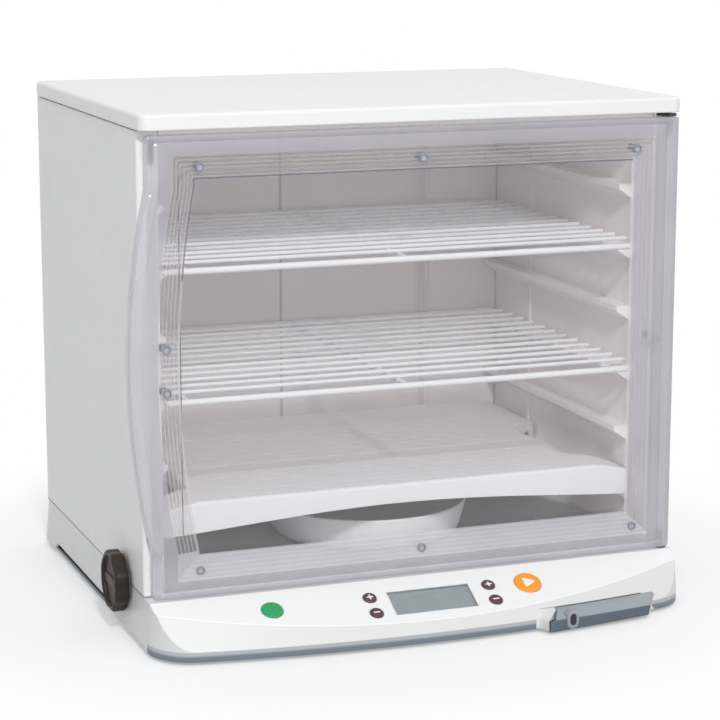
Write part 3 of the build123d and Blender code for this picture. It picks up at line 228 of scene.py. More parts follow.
@dataclass(frozen=True)
class Band:
    """Second colour past a plane, used here to paint light and shade: where the point's height along a
    direction passes the start.
    """

    colour: Colour
    along: tuple[float, float, float]
    start: float
    end: float

    def over(self, kit: Nodes, tint: bpy.types.NodeSocket) -> bpy.types.NodeSocket:
        """Lays the band's colour over the finish's own.

        Args:
            kit: the material's nodes.
            tint: the finish's own colour.

        Returns:
            The mixed colour.
        """
        product = kit.add("ShaderNodeVectorMath", kit.place, self.along, operation="DOT_PRODUCT")
        height = product.outputs["Value"]
        fade = kit.add("ShaderNodeMapRange", Value=height, From_Min=self.start * MM, From_Max=self.end * MM)
        return kit.blend(fade, tint, self.colour)


@dataclass(frozen=True)
class Moulding:
    """Opaque moulded plastic, rubber or paint: cloudy colour, fine grain, softened edges."""

    name: str
    colour: Colour
    roughness: float = 0.4
    grain_size: float = 0.5
    grain_depth: float = 0.02
    cloud: float = 0.03
    edge: float = 0.6
    coat: float = 0.0
    metal: float = 0.0
    spread: Spread = Spread.CLOUDS
    band: Band | None = None
    shine: float = 0.5
    cloud_size: float = 35.0
    sheen_size: float = 9.0
    sheen_part: float = 0.15
    bump: float = 0.35
    bevel_samples: int = 4

    def make(self) -> bpy.types.Material:
        """Builds the node material."""
        material = bpy.data.materials.new(self.name)
        kit = Nodes(material, "ShaderNodeOutputMaterial")
        tint = kit.clouded(self.cloud_size, 4.0, self.spread, self.colour, self.cloud)
        if self.band:
            tint = self.band.over(kit, tint)
        low, high = self.roughness * (1 - self.sheen_part), self.roughness * (1 + self.sheen_part)
        rough = kit.ranged(kit.noise(self.sheen_size, 2.0, self.spread), low, high)
        grain = kit.noise(self.grain_size, 2.0, self.spread)
        bump = kit.add("ShaderNodeBump", Strength=self.bump, Distance=self.grain_depth * MM, Height=grain)
        if self.edge:
            bevel = kit.add("ShaderNodeBevel", samples=self.bevel_samples, Radius=self.edge * MM)
            kit.feed(bump.inputs["Normal"], bevel)
        shader = kit.add("ShaderNodeBsdfPrincipled", Base_Color=tint, Roughness=rough, Normal=bump)
        shader.inputs["Metallic"].default_value = self.metal
        shader.inputs["Coat Weight"].default_value = self.coat
        shader.inputs["Specular IOR Level"].default_value = self.shine
        kit.surface(shader)
        return material


@dataclass(frozen=True)
class ClearMoulding:
    """Clear plastic with a pale veil and gloss, which light passes on its way to other things."""

    name: str
    tint: Colour
    veil: Colour
    veil_share: float
    roughness: float = 0.12
    ripple: float = 0.04
    ripple_size: float = 14.0
    bump: float = 0.3
    cloud_size: float = 40.0
    cloud: float = 0.04
    head_on: float = 0.04
    steepness: float = 5.0
    passing: float = 1.02

    def reflection(self, kit: Nodes, normal: bpy.types.Node) -> bpy.types.Node:
        """Share of light that the outer surface reflects: h + (1 - h) * (1 - cosine) ** 5.

        Args:
            kit: the material's nodes.
            normal: the rippled normal.

        Returns:
            The share, 0 on inner sides.
        """
        facing = kit.add("ShaderNodeLayerWeight", Blend=0.5, Normal=normal).outputs["Facing"]
        steep = kit.maths("POWER", facing, self.steepness)
        share = kit.maths("MULTIPLY_ADD", steep, 1 - self.head_on, self.head_on)
        inner = kit.add("ShaderNodeNewGeometry").outputs["Backfacing"]
        return kit.maths("MULTIPLY", share, kit.maths("SUBTRACT", 1.0, inner))

    def make(self) -> bpy.types.Material:
        """Builds the node material: see-through, veil and gloss mixed by angle."""
        material = bpy.data.materials.new(self.name)
        kit = Nodes(material, "ShaderNodeOutputMaterial")
        ripple = kit.noise(self.ripple_size, 2.0)
        bump = kit.add("ShaderNodeBump", Strength=self.bump, Distance=self.ripple * MM, Height=ripple)
        hue = kit.clouded(self.cloud_size, 3.0, Spread.CLOUDS, self.veil, self.cloud)
        through = kit.add("ShaderNodeBsdfTransparent", Color=self.tint)
        veil = kit.add("ShaderNodeBsdfDiffuse", Color=hue, Normal=bump)
        gloss = kit.add("ShaderNodeBsdfGlossy", Color=(1, 1, 1), Roughness=self.roughness, Normal=bump)
        seen = kit.mixed(self.reflection(kit, bump), kit.mixed(self.veil_share, through, veil), gloss)
        passed = kit.add("ShaderNodeBsdfTransparent", Color=shade(self.tint, self.passing))
        kit.surface(kit.mixed(kit.rays("Is Shadow Ray", "Is Diffuse Ray"), seen, passed))
        return material


Finish = Moulding | ClearMoulding

PANEL_FALL = 0.488
PANEL_TILT = math.atan(PANEL_FALL)
PANEL_FACING = (0.0, -math.sin(PANEL_TILT), math.cos(PANEL_TILT))
PANEL_TOP_AT = (0.0, -129.261, 38.0)
PANEL_SEAM = 0.35
PANEL_LEVEL = float(np.dot(PANEL_TOP_AT, PANEL_FACING)) - PANEL_SEAM
UP, DOWN, FRONT = (0.0, 0.0, 1.0), (0.0, 0.0, -1.0), (0.0, -1.0, 0.0)

BASE_WHITE = Moulding(
    "white_base",
    (0.71, 0.71, 0.705),
    roughness=0.36,
    grain_size=0.8,
    grain_depth=0.004,
    cloud=0.006,
    edge=1.2,
    # The band is painted light: the sloping panel's face is lighter than the rest of the base, standing for
    # the light from above that falls more fully on it.
    band=Band((0.88, 0.88, 0.878), PANEL_FACING, PANEL_LEVEL, PANEL_LEVEL + 0.1),
)
WALL_WHITE = Moulding(
    "white_wall",
    (0.82, 0.82, 0.815),
    roughness=0.42,
    grain_size=0.8,
    grain_depth=0.006,
    cloud=0.006,
    # The band is painted shade: the wall shells turn dark grey below about 39 mm, standing for the shadowed
    # gap over the base.
    band=Band((0.30, 0.30, 0.30), DOWN, -39.6, -39.1),
)
LID_WHITE = Moulding(
    "white_lid", (0.81, 0.81, 0.81), roughness=0.35, grain_size=0.9, grain_depth=0.004, cloud=0.006, edge=1.6
)
LINER = Moulding("liner_grey", (0.95, 0.908, 0.898), roughness=0.5, cloud=0.01)
# Painted shade in the back liner's grooves: a dark strip and a soft one.
GROOVE_SHADE_DARK = Moulding("liner_groove_shade_dark", (0.66, 0.61, 0.60), roughness=0.6, edge=0.0)
GROOVE_SHADE_SOFT = Moulding("liner_groove_shade_soft", (0.84, 0.79, 0.78), roughness=0.6, edge=0.0)
# Painted light: the tray's band turns its upper facet, above about 10.4 mm, light grey-blue, standing for the
# light from above that falls on that sloping face.
TRAY_SLATE = Moulding(
    "slate_tray", srgb(88, 99, 110), roughness=0.35, band=Band(srgb(150, 159, 165), UP, 10.2, 10.6)
)
BOSS_SLATE = Moulding("slate_boss", srgb(150, 158, 165), roughness=0.35)
# Painted highlight: the rim's band makes its upper part lighter, as if lit from above.
RIM_SLATE = Moulding(
    "slate_rim", srgb(116, 124, 134), roughness=0.4, band=Band(srgb(182, 187, 192), UP, 5.6, 7.6)
)
RUBBER = Moulding("foot_rubber", (0.02, 0.02, 0.02), roughness=0.8, grain_size=0.3)
STEEL = Moulding("screw_steel", (0.45, 0.45, 0.46), roughness=0.3, metal=1.0, spread=Spread.STREAKS)
DOOR_SCREW = Moulding(
    "door_screw_steel",
    srgb(158, 160, 172),
    roughness=0.5,
    metal=0.2,
    # The band is a painted highlight: the screws' front tips are lighter.
    band=Band(srgb(205, 206, 214), FRONT, 122.4, 123.0),
)
HEATER = Moulding("heater_coat", (0.62, 0.62, 0.63), roughness=0.45, grain_size=0.25)
FOIL = Moulding("heater_foil", (0.6, 0.6, 0.6), roughness=0.35, metal=1.0, spread=Spread.STREAKS)
FELT = Moulding("insulation_felt", (0.5, 0.47, 0.4), roughness=0.95, grain_size=0.8, grain_depth=0.3)
CIRCUIT = Moulding("circuit_board", (0.02, 0.13, 0.05), roughness=0.3, cloud=0.2)
BLACK = Moulding("black_plastic", (0.02, 0.02, 0.022), roughness=0.4)
LCD = Moulding("liquid_crystal", srgb(196, 208, 213), roughness=0.25, cloud=0.02, edge=0.0)
GREEN = Moulding("green_button", srgb(28, 158, 92), roughness=0.3, coat=0.3)
BROWN = Moulding("brown_button", srgb(84, 58, 60), roughness=0.35, coat=0.2)
ORANGE = Moulding("orange_button", srgb(252, 158, 30), roughness=0.3, coat=0.3)
KNOB = Moulding(
    "knob_brown", srgb(46, 36, 31), roughness=0.42, grain_size=0.4, grain_depth=0.03, shine=0.25
)
GREY = Moulding("grey_plastic", (0.3, 0.3, 0.3), roughness=0.5)
DARK = Moulding("dark_metal", (0.07, 0.06, 0.06), roughness=0.45, metal=0.6)
DIPPED = Moulding(
    "dipped_wire", (0.88, 0.89, 0.90), roughness=0.3, grain_size=1.5, grain_depth=0.04, cloud=0.01, coat=0.2
)
BOARD = Moulding(
    "embossed_board", (0.89, 0.89, 0.885), roughness=0.42, grain_size=0.7, grain_depth=0.008, cloud=0.008
)
DISH = Moulding("dish_white", (0.90, 0.90, 0.895), roughness=0.45, cloud=0.008)
WELL_RING = Moulding("well_ring", srgb(146, 150, 164), roughness=0.3, edge=0.0)
WELL_CENTRE = Moulding("well_centre", srgb(188, 187, 192), roughness=0.3, edge=0.0)
SIGN_WHITE = Moulding("sign_white", (0.85, 0.85, 0.85), roughness=0.4, edge=0.0)
CLEAR_PANE = ClearMoulding("clear_pane", (0.985, 0.983, 0.988), (0.60, 0.59, 0.62), 0.012)
CLEAR_BAND = ClearMoulding("clear_band", (0.89, 0.885, 0.90), (0.46, 0.45, 0.49), 0.68)
CLEAR_RISER = ClearMoulding("clear_riser", (0.95, 0.95, 0.96), (0.64, 0.62, 0.63), 0.50)
CLEAR_TREAD = ClearMoulding("clear_tread", (0.93, 0.92, 0.925), (0.46, 0.44, 0.45), 0.28)
# The two sill finishes are lit copies of the tread and riser, more veiled: painted light for the light from
# above that falls on the bottom steps.
CLEAR_SILL = ClearMoulding("clear_sill", (0.96, 0.955, 0.97), (0.54, 0.53, 0.575), 0.78)
SILL_RISER = ClearMoulding("sill_riser", (0.95, 0.95, 0.96), (0.58, 0.57, 0.60), 0.78)
CLEAR_GRIP = ClearMoulding("clear_grip", (0.95, 0.95, 0.955), (0.70, 0.70, 0.72), 0.34)
PANE_EDGE = ClearMoulding("pane_edge", (0.70, 0.64, 0.74), (0.22, 0.16, 0.26), 0.55)
WINDOW = ClearMoulding("clear_window", (0.99, 0.99, 0.99), (0.5, 0.5, 0.5), 0.01, roughness=0.05)

WORN: tuple[tuple[Finish, tuple[str, ...]], ...] = (
    (BASE_WHITE, ("base_shell",)),
    (RIM_SLATE, ("bottom_cover",)),
    (RUBBER, ("rubber_feet",)),
    (STEEL, ("cover_screws", "lid_screws", "inlet_pins", "fold_hinge_pins", "door_hinge_pins")),
    (STEEL, ("temperature_sensor", "thermal_fuse", "magnet_strike")),
    (TRAY_SLATE, ("drip_tray",)),
    (HEATER, ("heater_plate",)),
    (FOIL, ("heater_element",)),
    (FELT, ("insulation_mat",)),
    (CIRCUIT, ("control_board", "power_board")),
    (BLACK, ("key_switches", "power_inlet")),
    (WINDOW, ("display_window",)),
    (LCD, ("display_module",)),
    (GREEN, ("power_button",)),
    (BROWN, ("temperature_up_button", "temperature_down_button", "time_up_button", "time_down_button")),
    (ORANGE, ("start_button",)),
    (WALL_WHITE, ("right_wall_shell", "left_wall_shell", "back_wall_shell")),
    (LINER, ("right_wall_liner", "left_wall_liner", "back_wall_liner", "lid_liner")),
    (KNOB, ("lock_knob_left", "lock_knob_right")),
    (GREY, ("lock_cam_left", "lock_cam_right")),
    (LID_WHITE, ("lid_shell",)),
    (CLEAR_BAND, ("door_front_panel",)),
    (CLEAR_PANE, ("door_rear_panel",)),
    (DARK, ("door_magnet", "door_hinge_brackets")),
    (DOOR_SCREW, ("door_screws",)),
    (CLEAR_GRIP, ("door_grip",)),
    (DIPPED, ("rack_lower", "rack_upper")),
    (BOARD, ("heat_board",)),
    (DISH, ("water_dish",)),
)
DRESS = {node: finish for finish, nodes in WORN for node in nodes}


# ---------------------------------------------------------------- mesh makers
@dataclass
class Skin:
    """Closed skins: points in millimetres, faces by point number, and a tone for each face."""

    points: np.ndarray
    faces: list[tuple[int, ...]]
    tones: np.ndarray


def lofted(rings: np.ndarray, tones: list[int] | None = None) -> Skin:
    """Joins closed rings one to the next, and closes the first and the last.

    Point (i, j) is point j of ring i; a face joins (i, j), (i, j + 1), (i + 1, j + 1) and
    (i + 1, j), with j counted round the ring.

    Args:
        rings: array of rings, points and coordinates.
        tones: tone of each strip between rings, then of the first and the last cap.

    Returns:
        The skin.
    """
    count, sides = rings.shape[:2]
    start = np.arange(count - 1)[:, None] * sides
    column = np.arange(sides)[None, :]
    beside = (column + 1) % sides
    quad = (start + column, start + beside, start + sides + beside, start + sides + column)
    faces = [tuple(numbers) for numbers in np.stack(quad, axis=-1).reshape(-1, 4).tolist()]
    faces += [tuple(range(sides)), tuple(range((count - 1) * sides, count * sides))]
    chosen = np.zeros(count + 1, int) if tones is None else np.array(tones)
    shades = np.concatenate([np.repeat(chosen[: count - 1], sides), chosen[-2:]])
    return Skin(rings.reshape(-1, 3), faces, shades)


def joined(skins: list[Skin]) -> Skin:
    """Puts several skins into one, with the point numbers moved on."""
    starts = np.cumsum([0] + [len(skin.points) for skin in skins]).tolist()
    faces = [
        tuple(number + start for number in face) for skin, start in zip(skins, starts) for face in skin.faces
    ]
    return Skin(np.concatenate([s.points for s in skins]), faces, np.concatenate([s.tones for s in skins]))


def toned(skin: Skin, tone: int) -> Skin:
    """The same skin with one tone all over."""
    return Skin(skin.points, skin.faces, np.full(len(skin.faces), tone))


def placed(skin: Skin, origin: np.ndarray, axes: np.ndarray) -> Skin:
    """Moves a skin from its own axes to a place on the proofer.

    Point p goes to origin + p_x * axes_0 + p_y * axes_1 + p_z * axes_2.

    Args:
        skin: the skin, drawn about its own origin.
        origin: where that origin goes.
        axes: its three directions, one to a row.

    Returns:
        The moved skin.
    """
    return Skin(skin.points @ np.asarray(axes) + np.asarray(origin), skin.faces, skin.tones)


def upright(line: np.ndarray, depth: np.ndarray | float) -> np.ndarray:
    """Points of a line in X and Z, set at a depth in Y."""
    return np.column_stack([line[:, 0], np.broadcast_to(depth, len(line)), line[:, 1]])


def flat(plan: np.ndarray, height: np.ndarray | float) -> np.ndarray:
    """Points of a plan in X and Y, set at a height in Z."""
    return np.column_stack([plan, np.broadcast_to(height, len(plan))])


def quarter_round(radius: float, turn: np.ndarray) -> list[tuple[float, float]]:
    """Inset and depth of points round an edge: radius * (1 - cos) and radius * (1 - sin)."""
    return list(zip(radius - radius * np.cos(turn), radius - radius * np.sin(turn)))


def fallen(half: float, bow: float, along: np.ndarray) -> np.ndarray:
    """How far an arc falls back from its crown: r - sqrt(r * r - s * s), at s along its chord.

    Args:
        half: half the length h of the chord.
        bow: how far the arc swells, b; its radius r is (h * h + b * b) / 2b.
        along: places s along the chord, from its middle.

    Returns:
        The falls.
    """
    radius = (half**2 + bow**2) / (2 * bow)
    return radius - np.sqrt(radius**2 - along**2)


ROD_END = np.array([0.25, 0.6, 0.95, 1.3, QUARTER])
STEEP = 0.9


def rod(path: np.ndarray, radius: float, sides: int = 12) -> Skin:
    """Round rod along a path, with half-ball ends.

    Ring i is a circle of the radius in the plane square to the path; at the ends the circle is
    radius * sin(a), set in from the tip by radius * (1 - cos(a)), for the angles a of ROD_END.

    Args:
        path: points of the centre line, tip to tip.
        radius: radius of the rod.
        sides: points round the rod.

    Returns:
        The skin.
    """
    tangent = np.gradient(path, axis=0)
    tangent /= np.linalg.norm(tangent, axis=1, keepdims=True)
    reach = radius * (1 - np.cos(ROD_END))[:, None]
    start, stop = path[0] + tangent[0] * reach, path[-1] - tangent[-1] * reach
    centre = np.concatenate([start, path[1:-1], stop[::-1]])
    size = radius * np.concatenate([np.sin(ROD_END), np.ones(len(path) - 2), np.sin(ROD_END)[::-1]])
    first, last = (np.repeat(tangent[[end]], len(ROD_END), 0) for end in (0, -1))
    along = np.concatenate([first, tangent[1:-1], last])
    guide = np.where(np.abs(along[:, 2:3]) > STEEP, [[1.0, 0.0, 0.0]], [[0.0, 0.0, 1.0]])
    side = np.cross(along, guide)
    side /= np.linalg.norm(side, axis=1, keepdims=True)
    up = np.cross(side, along)
    angle = np.linspace(0, 2 * math.pi, sides, endpoint=False)[None, :, None]
    circle = np.cos(angle) * side[:, None] + np.sin(angle) * up[:, None]
    return lofted(centre[:, None] + size[:, None, None] * circle)


def turned(profile: np.ndarray, spokes: int, flutes: int = 0, flute_depth: np.ndarray | float = 0) -> Skin:
    """Turns a profile about Z, with flutes cut along it.

    Point (i, j) lies at radius r_i - d_i * (0.5 + 0.5 * cos(n * a_j)), angle a_j and height h_i.

    Args:
        profile: radius and height of each point.
        spokes: points round the turn.
        flutes: number of flutes, n.
        flute_depth: depth d of the flutes at each point of the profile.

    Returns:
        The skin.
    """
    angle = np.linspace(0, 2 * math.pi, spokes, endpoint=False)[None, :]
    depth = np.broadcast_to(flute_depth, len(profile))[:, None]
    radius = profile[:, :1] - depth * (0.5 + 0.5 * np.cos(flutes * angle))
    height = np.broadcast_to(profile[:, 1:], radius.shape)
    return lofted(np.stack([radius * np.cos(angle), radius * np.sin(angle), height], axis=-1))


def stadium(length: float, width: float, steps: int = 9) -> np.ndarray:
    """Outline of a bar with half-round ends: two half circles of radius width / 2.

    Args:
        length: length over the ends.
        width: width.
        steps: points on each half circle.

    Returns:
        Points in the plane.
    """
    turn = np.linspace(-QUARTER, QUARTER, steps)
    half, shift = width / 2, (length - width) / 2
    right = np.stack([shift + half * np.cos(turn), half * np.sin(turn)], axis=-1)
    return np.concatenate([right, -right])


def pad(outline: np.ndarray, levels: Rows, base: float = 0.0) -> Skin:
    """Flat pad with softened edges.

    Ring k is the outline drawn towards its middle by factor f_k, at height base + h_k.

    Args:
        outline: outline in the plane.
        levels: factor and height of each ring.
        base: height that the others are counted from.

    Returns:
        The skin.
    """
    middle = outline.mean(axis=0)
    return lofted(np.stack([flat(middle + (outline - middle) * f, base + h) for f, h in levels]))


def eased(points: np.ndarray, reach: float, bend: int = 5, run: int = 24) -> np.ndarray:
    """Outline of a polygon with its corners rounded and its sides divided.

    At a corner P, with A and B at the reach along its two sides, the curve is
    (1 - u) ** 2 * A + 2 * u * (1 - u) * P + u ** 2 * B; the sides run straight between.

    Args:
        points: corners in the plane.
        reach: length of side that each rounding takes.
        bend: points in each rounding.
        run: points along each side.

    Returns:
        The outline.
    """
    back, ahead = np.roll(points, 1, 0) - points, np.roll(points, -1, 0) - points
    start = points + back / np.linalg.norm(back, axis=1, keepdims=True) * reach
    stop = points + ahead / np.linalg.norm(ahead, axis=1, keepdims=True) * reach
    u = np.linspace(0, 1, bend)[None, :, None]
    curve = (1 - u) ** 2 * start[:, None] + 2 * u * (1 - u) * points[:, None] + u**2 * stop[:, None]
    v = np.linspace(0, 1, run + 2)[None, 1:-1, None]
    side = (1 - v) * stop[:, None] + v * np.roll(start, -1, 0)[:, None]
    return np.concatenate([curve, side], axis=1).reshape(-1, 2)


# ---------------------------------------------------------------- workshop
class Wardrobe:
    """Makes each finish once and hands it out."""

    def __init__(self) -> None:
        """Starts with nothing made."""
        self.made: dict[str, bpy.types.Material] = {}

    def get(self, finish: Finish) -> bpy.types.Material:
        """The material of a finish, made at the first call."""
        if finish.name not in self.made:
            self.made[finish.name] = finish.make()
        return self.made[finish.name]

    def dress(self, thing: bpy.types.Object, *finishes: Finish) -> None:
        """Gives an object its finishes, one to each tone, or the first one to every slot.

        Args:
            thing: object to dress.
            finishes: what it is made of.
        """
        if not thing.data.materials:
            for finish in finishes:
                thing.data.materials.append(self.get(finish))
            return
        for number in range(len(thing.material_slots)):
            thing.material_slots[number].material = self.get(finishes[0])


@dataclass
class Workshop:
    """Turns skins into finished pieces of the proofer; points closer than the weld are one."""

    wardrobe: Wardrobe
    weld: float = 1e-6

    def put(
        self,
        name: str,
        skin: Skin,
        finishes: tuple[Finish, ...],
        body: str,
        replaces: tuple[str, ...] = (),
        crease: float = 38.0,
    ) -> bpy.types.Object:
        """Makes one piece: points welded, faces outward, smooth but for its creases.

        Args:
            name: name of the piece.
            skin: its shape.
            finishes: its finishes, one to each tone.
            body: body that it rides on.
            replaces: nodes that it stands for.
            crease: angle, in degrees, above which an edge stays sharp.

        Returns:
            The object.
        """
        mesh = bpy.data.meshes.new(name)
        mesh.from_pydata((skin.points * MM).tolist(), [], skin.faces)
        mesh.polygons.foreach_set("material_index", skin.tones.astype(np.int32))
        shape = bmesh.new()
        shape.from_mesh(mesh)
        bmesh.ops.remove_doubles(shape, verts=shape.verts, dist=self.weld)
        bmesh.ops.dissolve_degenerate(shape, edges=shape.edges, dist=self.weld)
        bmesh.ops.recalc_face_normals(shape, faces=shape.faces)
        shape.to_mesh(mesh)
        shape.free()
        mesh.polygons.foreach_set("use_smooth", np.ones(len(mesh.polygons), bool))
        mesh.set_sharp_from_angle(angle=math.radians(crease))
        piece = bpy.data.objects.new(name, mesh)
        bpy.context.scene.collection.objects.link(piece)
        self.wardrobe.dress(piece, *finishes)
        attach(piece, body)
        if replaces:
            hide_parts(*replaces)
        log.info("%s on %s: %d faces", name, body, len(mesh.polygons))
        return piece


def corners(node: str) -> tuple[np.ndarray, np.ndarray]:
    """Lowest and highest corners of a node at rest, in millimetres."""
    low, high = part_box(node)
    return np.array(low) / MM, np.array(high) / MM


# ---------------------------------------------------------------- door
class DoorTone(IntEnum):
    """Parts of the clear front panel that look different."""

    BAND = 0
    RISER = 1
    PANE = 2
    PANE_EDGE = 3
    TREAD = 4
    # The sill tones are painted light: lit copies of the tread and riser for the bottom steps.
    SILL = 5
    SILL_RISER = 6


DOOR_FINISHES = {
    DoorTone.BAND: CLEAR_BAND,
    DoorTone.RISER: CLEAR_RISER,
    DoorTone.PANE: CLEAR_PANE,
    DoorTone.PANE_EDGE: PANE_EDGE,
    DoorTone.TREAD: CLEAR_TREAD,
    DoorTone.SILL: CLEAR_SILL,
    DoorTone.SILL_RISER: SILL_RISER,
}


@dataclass
class DoorMoulding:
    """Clear front panel: rounded edge, flat band, six steps down to the pane, barrel at the hinge.

    Rows of back_edge are an inset and a step forward, rows of groove an inset and a depth, and
    rows of nosing an inset, a depth and a tone. Four insets are those at the left, right, top and
    bottom. The hinge columns are the points of the outline along which the steps stay plain.
    """

    bow: float = 14.5
    step_bow: float = 12.0
    bow_low: float = 71.0
    bow_high: float = 327.0
    thickness: float = 12.6
    front_depth: float = 7.95
    barrel_strip: float = 8.0
    strip_edge: float = 0.4
    edge_round: float = 1.3
    back_edge: Rows = ((0.8, 0.0), (0.4, 0.1), (0.1, 0.4))
    side_ends: tuple[float, float] = (0.8, 0.3)
    corner: float = 3.0
    step_corner: float = 0.8
    bands: tuple[float, float, float, float] = (19.0, 21.0, 14.5, 13.0)
    steps: int = 6
    step_width: float = 3.0
    step_depth: float = 0.9
    nosing: tuple[tuple[float, float, DoorTone], ...] = (
        (-0.9, 0.0, DoorTone.TREAD),
        (-0.5, 0.12, DoorTone.RISER),
        (-0.05, 0.5, DoorTone.RISER),
    )
    nosing_foot: float = 0.25
    pane_edge: float = 1.4
    dark_edge_low: float = 262.0
    dark_edge_margin: float = 1.0
    groove_inset: float = 4.2
    groove: Rows = ((0.0, 0.0), (0.3, 0.4), (0.9, 0.4), (1.2, 0.0))
    corner_points: int = 7
    bow_points: int = 61
    round_points: int = 6
    barrel_points: int = 17
    hinge_columns: tuple[int, int] = (3, 10)
    pane_strips: int = 3

    def outline(self, insets: tuple[float, float, float, float], bow: float, corner: float) -> np.ndarray:
        """Outline seen from the front, drawn in at its left, right, top and bottom.

        Four quarter circles of the corner radius joined by straight edges; between the two bow
        heights the left edge is an arc.

        Args:
            insets: insets at the left, right, top and bottom.
            bow: how far the left edge swells.
            corner: radius of the corners.

        Returns:
            X and Z of each point.
        """
        low, high = corners("door_front_panel")
        edge = low[0] + self.bow + insets[0]
        left, right = edge + corner, high[0] - insets[1] - corner
        bottom, top = low[2] + insets[3] + corner, high[2] - insets[2] - corner
        turn = np.linspace(0, QUARTER, self.corner_points)
        middle, half = (self.bow_low + self.bow_high) / 2, (self.bow_high - self.bow_low) / 2
        level = np.linspace(self.bow_high, self.bow_low, self.bow_points)
        swell = np.column_stack([edge - bow + fallen(half, bow, level - middle), level])

        def arc(x: float, z: float, quarters: int) -> np.ndarray:
            """Quarter circle about a corner's centre, from a number of quarter turns on."""
            angle = quarters * QUARTER + turn
            return np.column_stack([x + corner * np.cos(angle), z + corner * np.sin(angle)])

        arcs = (arc(right, bottom, -1), arc(right, top, 0), arc(left, top, 1), swell, arc(left, bottom, 2))
        return np.concatenate(arcs)

    def rightness(self) -> np.ndarray:
        """Share of the hinge's profile at each point of the outline: 1 on the right edge."""
        turn = np.linspace(0, 1, self.corner_points)
        return np.concatenate([turn, 1 - turn, np.zeros(2 * self.corner_points + self.bow_points)])

    def edge_rings(self) -> list[np.ndarray]:
        """Rings from the back of the panel round its edges to the face, and its fine groove.

        The plain edges go up the side and round a small quarter circle; the right edge goes
        round the barrel's half circle.

        Returns:
            The rings.
        """
        half = self.thickness / 2
        strip, soft = half + self.barrel_strip, self.strip_edge
        right = [(strip, self.front_depth), (strip, self.thickness - soft), (strip - soft, self.thickness)]
        right += quarter_round(half, np.linspace(-QUARTER, QUARTER, self.barrel_points))
        plain = [(inset, self.front_depth - step) for inset, step in self.back_edge]
        back, front = self.front_depth - self.side_ends[0], self.edge_round + self.side_ends[1]
        plain += [(0.0, depth) for depth in np.linspace(back, front, self.barrel_points - self.round_points)]
        plain += quarter_round(self.edge_round, np.linspace(0, QUARTER, self.round_points))
        share = self.rightness()
        low, _ = corners("door_front_panel")
        rings = []
        for (inset, depth), (right_inset, right_depth) in zip(plain, right):
            line = self.outline((inset, right_inset, inset, inset), self.bow, self.corner)
            rings.append(upright(line, low[1] + (1 - share) * depth + share * right_depth))
        for nudge, sink in self.groove:
            inset = self.groove_inset + nudge
            line = self.outline((inset, inset + half, inset, inset), self.bow, self.corner)
            rings.append(upright(line, low[1] + sink))
        return rings

    def step_rings(self) -> tuple[list[np.ndarray], list[int]]:
        """Rings of the steps: a rounded nosing, the drop and the tread of each.

        Returns:
            The rings and the tone of the strip that ends at each.
        """
        low, _ = corners("door_front_panel")
        drops = (*self.nosing, (self.nosing_foot, self.step_depth, DoorTone.RISER))
        rows = [
            (step * self.step_width + nudge, step * self.step_depth + sink, tone)
            for step in range(self.steps)
            for nudge, sink, tone in drops
        ]
        last = (self.steps - 1) * self.step_width + self.pane_edge
        rows.append((last, rows[-1][1], DoorTone.PANE_EDGE))
        rings = []
        for inset, depth, _ in rows:
            line = self.outline(tuple(band + inset for band in self.bands), self.step_bow, self.step_corner)
            rings.append(upright(line, low[1] + depth))
        return rings, [tone for _, _, tone in rows]

    def build(self, shop: Workshop) -> None:
        """Builds the panel and puts it in the door.

        Args:
            shop: workshop that makes the pieces.
        """
        edge = self.edge_rings()
        steps, tones = self.step_rings()
        edge_tones = [DoorTone.BAND] * (len(edge) - len(self.groove))
        edge_tones += [DoorTone.RISER, DoorTone.BAND, DoorTone.RISER, DoorTone.BAND]
        skin = lofted(np.stack(edge + steps), edge_tones + tones[1:] + [DoorTone.PANE] * 2)
        row, column = np.divmod(np.arange(len(skin.faces)), len(edge[0]))
        stepped = row >= len(edge) - 1
        first, last = self.hinge_columns
        before_pane = row < len(edge) + len(steps) - 1 - self.pane_strips
        at_hinge = (column >= first) & (column < last) & before_pane
        middles = np.array([skin.points[list(face)].mean(axis=0) for face in skin.faces])
        across, level = middles[:, 0], middles[:, 2]
        # Painted light: the bottom treads and risers take the more veiled sill finishes, as the light from
        # above falls on them.
        sill = corners("door_front_panel")[0][2] + self.bands[3] + self.steps * self.step_width
        skin.tones[(skin.tones == DoorTone.TREAD) & (level < sill)] = DoorTone.SILL
        skin.tones[(skin.tones == DoorTone.RISER) & (level < sill) & stepped] = DoorTone.SILL_RISER
        skin.tones[at_hinge & stepped] = DoorTone.BAND
        pane_edge = skin.tones == DoorTone.PANE_EDGE
        below_top = level < level[pane_edge].max() - self.dark_edge_margin
        plain = (level < self.dark_edge_low) | ((across > 0) & below_top)
        skin.tones[pane_edge & plain] = DoorTone.RISER
        finishes = tuple(DOOR_FINISHES[tone] for tone in DoorTone)
        shop.put("door_clear_moulding", skin, finishes, "door", ("door_front_panel",),
                 crease=50.0)


